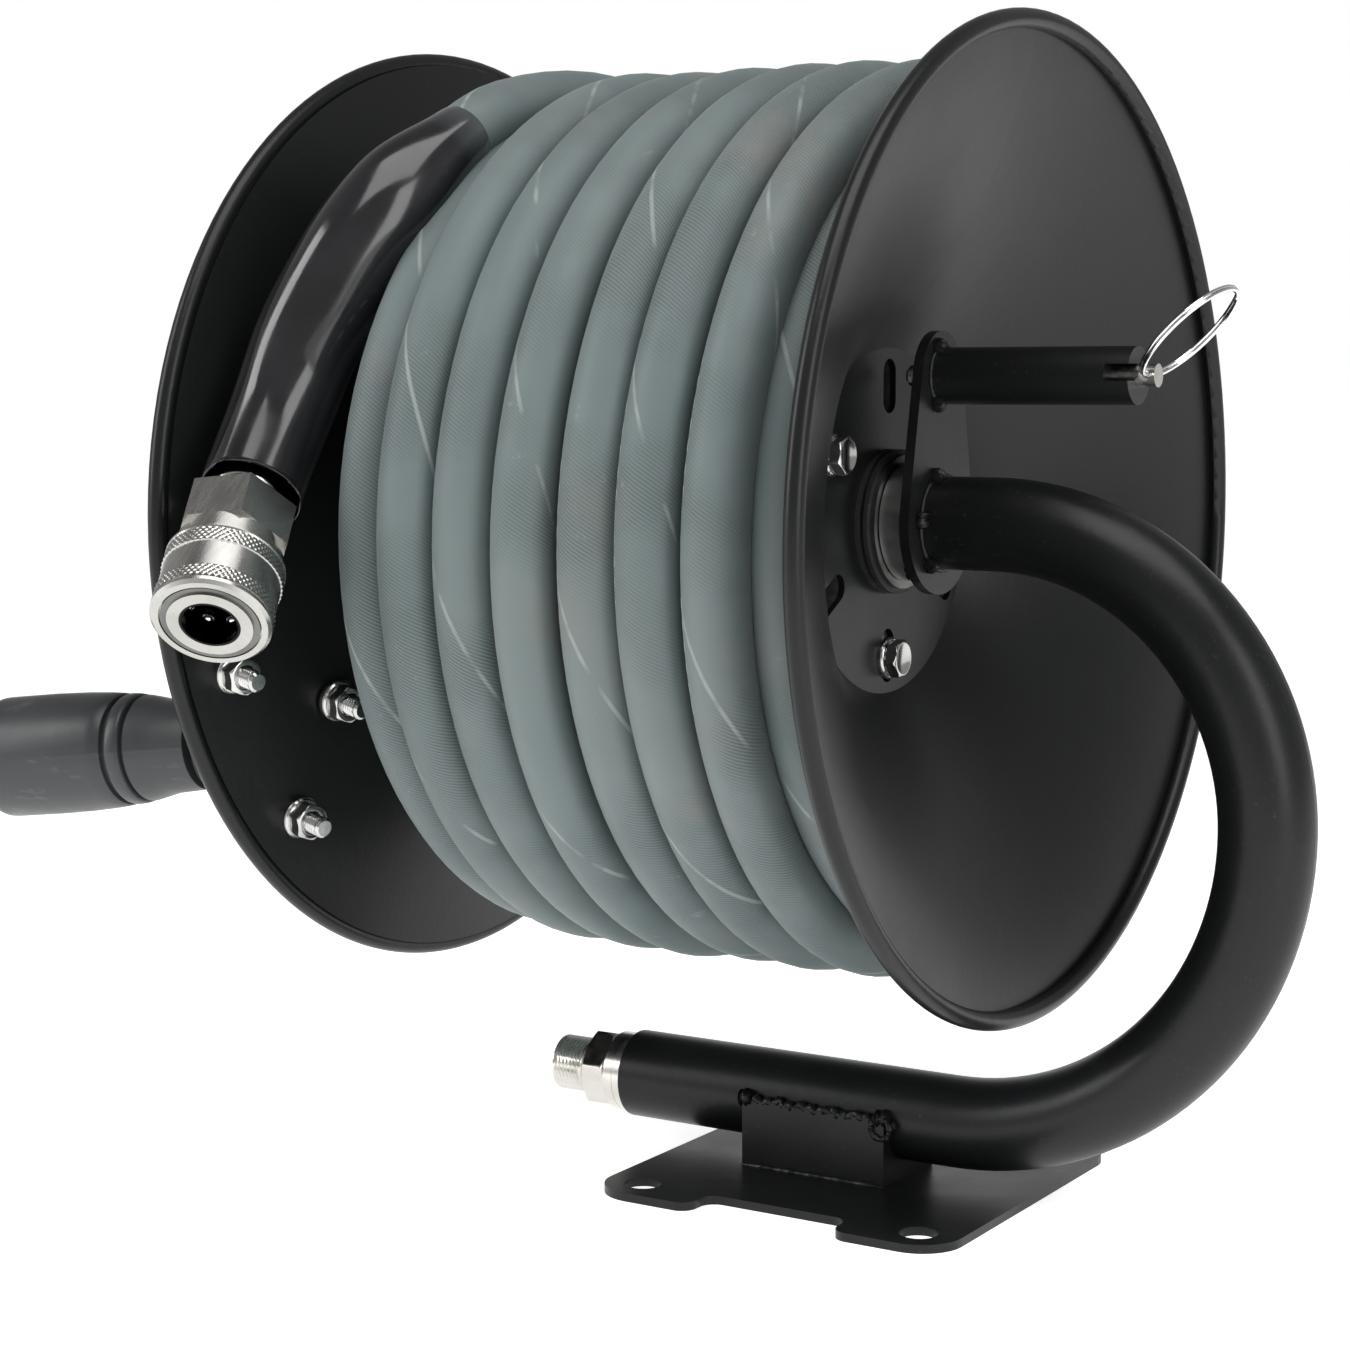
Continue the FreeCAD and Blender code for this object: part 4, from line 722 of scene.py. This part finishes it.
def crank_hardware():
    """Bolts, flange nuts and stud tips of the crank plate."""
    nodes = {}
    for name in ("crank_bolts", "crank_nuts"):
        mesh = frame["nodes"][name].data
        nodes[name] = [vertex.co.copy() for vertex in mesh.vertices]
    slope = math.radians(CRANK_SHEET_SLOPE)
    out = radial(at(*CRANK_MIDDLE))
    way = X_AXIS * -math.cos(slope) - out * math.sin(slope)
    heads = []
    for points, kind in ((nodes["crank_bolts"], "bolt"), (nodes["crank_nuts"], "nut")):
        for group in clusters(points, 3, way):
            stations = [point.dot(way) for point in group]
            mean = sum(group, Vector()) / len(group)
            flat = mean - way * mean.dot(way)
            low, high = min(stations), max(stations)
            if kind == "nut":
                top = (high - low) / MM
                pose = pose_along(flat + way * high, -way)
                rings = [(0.0, 3.0), (0.0, 6.0), (0.5, 6.1), (1.1, 5.7)]
                rings += hex_rings(10.0, 1.3, top, 0.3, 0.6)
                rings += [(top, 3.6), (top - 0.5, 3.0)]
                heads.append(revolved("nut", rings, pose, ZINC, 72))
            else:
                pose = pose_along(flat + way * low, way)
                span = (high - low) / MM
                rings = [(0.0, 0.01), (0.0, 2.3), (0.7, 3.0)]
                rings += threads(0.7, 12.0, 3.0, 1.0)
                rings += [(12.5, 3.0), (span - 4.0, 3.0)]
                rings += hex_rings(10.0, span - 4.0, span, 0.1, 0.6)
                rings += [(span, 0.01)]
                heads.append(revolved("stud", rings, pose, ZINC, 72))
    piece = join("crank_fasteners", heads)
    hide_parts("crank_bolts", "crank_nuts")
    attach(piece, "reel")


def clusters(points, count, way):
    """Points split into groups by where they lie across a direction."""
    flat = [point - way * point.dot(way) for point in points]
    seeds = [flat[0]]
    while len(seeds) < count:
        seeds.append(max(flat, key=lambda p: min((p - seed).length for seed in seeds)))
    groups = [[] for _ in seeds]
    for point, spot in zip(points, flat):
        nearest = min(range(count), key=lambda index: (spot - seeds[index]).length)
        groups[nearest].append(point)
    return groups


def threads(start, end, radius, pitch, depth=0.45, per_turn=6):
    """Rings of a screw thread."""
    rings = []
    steps = int((end - start) / pitch * per_turn)
    for step in range(steps + 1):
        station = start + (end - start) * step / steps

        def reach(angle, station=station):
            wave = (station / pitch - angle / (2 * math.pi)) % 1.0
            ease = min(1.0, (station - start) / pitch, (end - station) / pitch)
            return radius - depth * abs(2 * wave - 1) * max(ease, 0.15)
        rings.append((station, reach))
    return rings


def inlet():
    """Threaded inlet with its hexagon."""
    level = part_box("inlet_fitting")
    height = (level[0][2] + level[1][2]) / 2
    pose = Matrix.Translation(Vector((SPIN.x, SPIN.y, height)))
    rings = [(-37.8, 5.0), (-60.0, 5.0), (-60.0, 7.3), (-59.3, 8.1)]
    rings += threads(-59.3, -48.4, 8.55, 1.34, 0.7, 8)
    rings += [(-47.9, 7.7), (-46.6, 7.7)]
    rings += hex_rings(22.0, -46.6, -37.8, 0.25, 1.3, 6)
    rings += [(-37.8, 9.0)]
    piece = revolved("inlet_threaded", rings, pose, NICKEL, 144)
    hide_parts("inlet_fitting")
    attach(piece, "frame")


def grip():
    """Hand grip: rounded end, raised ring between two grooves, moulding line."""
    joint = JOINTS["grip_spin"]
    axis = Vector(joint["axis"])
    if axis.x > 0:
        axis = -axis
    pose = pose_along(Vector(joint["pos_m"]), axis)
    seen = pose.to_3x3().inverted() @ Vector((0.66, -0.74, 0.10))
    seam = math.atan2(seen.z, seen.y)

    def skin(radius):
        def reach(angle):
            gap = abs((angle - seam + math.pi / 2) % math.pi - math.pi / 2)
            return radius + 0.16 * max(0.0, 1.0 - gap * radius / 0.5)
        return reach

    outline = [(16.4, 12.7), (16.8, 13.3), (19.0, 13.45), (27.0, 13.9), (31.0, 14.8),
               (34.6, 15.6), (35.4, 15.7), (35.7, 15.3), (35.8, 14.2), (37.0, 14.2),
               (37.1, 15.6), (37.5, 16.1), (38.4, 16.3), (40.6, 16.5), (41.3, 16.3),
               (41.7, 16.0), (41.8, 15.0), (43.2, 15.0), (43.3, 16.3), (43.8, 16.75),
               (48.0, 17.2), (56.0, 17.7), (67.0, 18.0), (83.0, 18.0), (84.6, 17.9),
               (85.9, 17.4), (86.9, 16.5), (87.4, 15.4), (87.5, 14.4)]
    rings = [(16.4, 6.0)] + [(station, skin(radius)) for station, radius in outline]
    rings += [(87.5, 9.4), (87.2, 9.0), (79.5, 9.0), (79.5, 6.0)]
    piece = revolved("grip_moulding", rings, pose, GRIP, 180, 40.0)
    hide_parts("grip")
    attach(piece, "grip_body")


def circle_line(centre, axis, radius, steps=90):
    """Closed ring of points round an axis."""
    pose = pose_along(centre, axis)
    line = []
    for step in range(steps + 1):
        angle = 2 * math.pi * step / steps
        spot = Vector((0.0, math.cos(angle), math.sin(angle))) * radius
        line.append(pose @ (spot * MM))
    return line


def straight_line(start, end, steps=40):
    """Points from start to end."""
    return [start.lerp(end, step / steps) for step in range(steps + 1)]


def welds():
    """Beads on the saddle; thin fillets with a few tack blobs on the bracket."""
    low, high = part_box("saddle")
    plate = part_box("base_plate")[1][2]
    beads = []
    for side, seed in ((low[1], 0.4), (high[1], 2.6)):
        sign = 1.0 if side > 0 else -1.0
        inner = side - sign * 1.2 * MM
        start, end = Vector((low[0], inner, high[2])), Vector((high[0], inner, high[2]))
        line = []
        for index, point in enumerate(straight_line(start, end, 90)):
            rise = 0.45 * math.sin(index * 0.9 + seed) + 0.35 * math.sin(index * 0.37)
            line.append(point + Vector((0.0, 0.0, rise * MM)))
        beads.append(bead("bead", line, 1.3 * MM, PAINT, seed))
        foot = [Vector((low[0], side, plate)), Vector((high[0], side, plate))]
        beads.append(bead("bead", straight_line(*foot), 1.1 * MM, PAINT, seed + 1))
        for x, size in ((low[0] + 1 * MM, 2.4), (high[0] - 1 * MM, 2.2)):
            blob = straight_line(Vector((x - 2.0 * MM, inner, high[2] + 0.2 * MM)),
                                 Vector((x + 2.0 * MM, inner, high[2] + 0.6 * MM)), 14)
            beads.append(bead("bead", blob, size * MM, PAINT, seed + x * 900))
    curl = circle_line(Vector((high[0] - 1.0 * MM, low[1] - 0.2 * MM, high[2] - 2.4 * MM)),
                       Vector((0.0, 1.0, 0.0)), 3.0, 40)
    beads.append(bead("bead", curl, 0.9 * MM, PAINT, 5.0, True))
    piece = join("saddle_beads", beads)
    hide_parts("saddle_welds")
    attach(piece, "frame")
    beads = []
    for station, height, radius, spots in ((71.3, 0.0, 13.6, (1.9, 3.05, 4.1)),
                                           (71.2, PIN_HEIGHT, 8.3, (2.0, 4.2)),
                                           (67.6, 0.0, 17.2, (0.9, 4.0))):
        ring = circle_line(at(station, 0.0, height), X_AXIS, radius)
        beads.append(bead("bead", ring, 0.7 * MM, PAINT, station, True))
        for spot in spots:
            place = at(station + 0.5, 0.0, height)
            place += Vector((0.0, math.cos(spot), math.sin(spot))) * (radius + 0.5) * MM
            along = Vector((0.0, -math.sin(spot), math.cos(spot))) * 2.4 * MM
            beads.append(bead("bead", straight_line(place - along, place + along, 12),
                              2.1 * MM, PAINT, spot))
    piece = join("bracket_beads", beads)
    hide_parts("bracket_welds")
    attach(piece, "frame")


# ---------------------------------------------------------------- everything

camera()
hose_skin, route, hose_length = hose()
vinyl = sleeve(route)
collar = coupler_collar()
shell = hose_end()
paint_cad_nodes()
split_ring()
hub_bolts()
crank_hardware()
inlet()
grip()
welds()
studio()
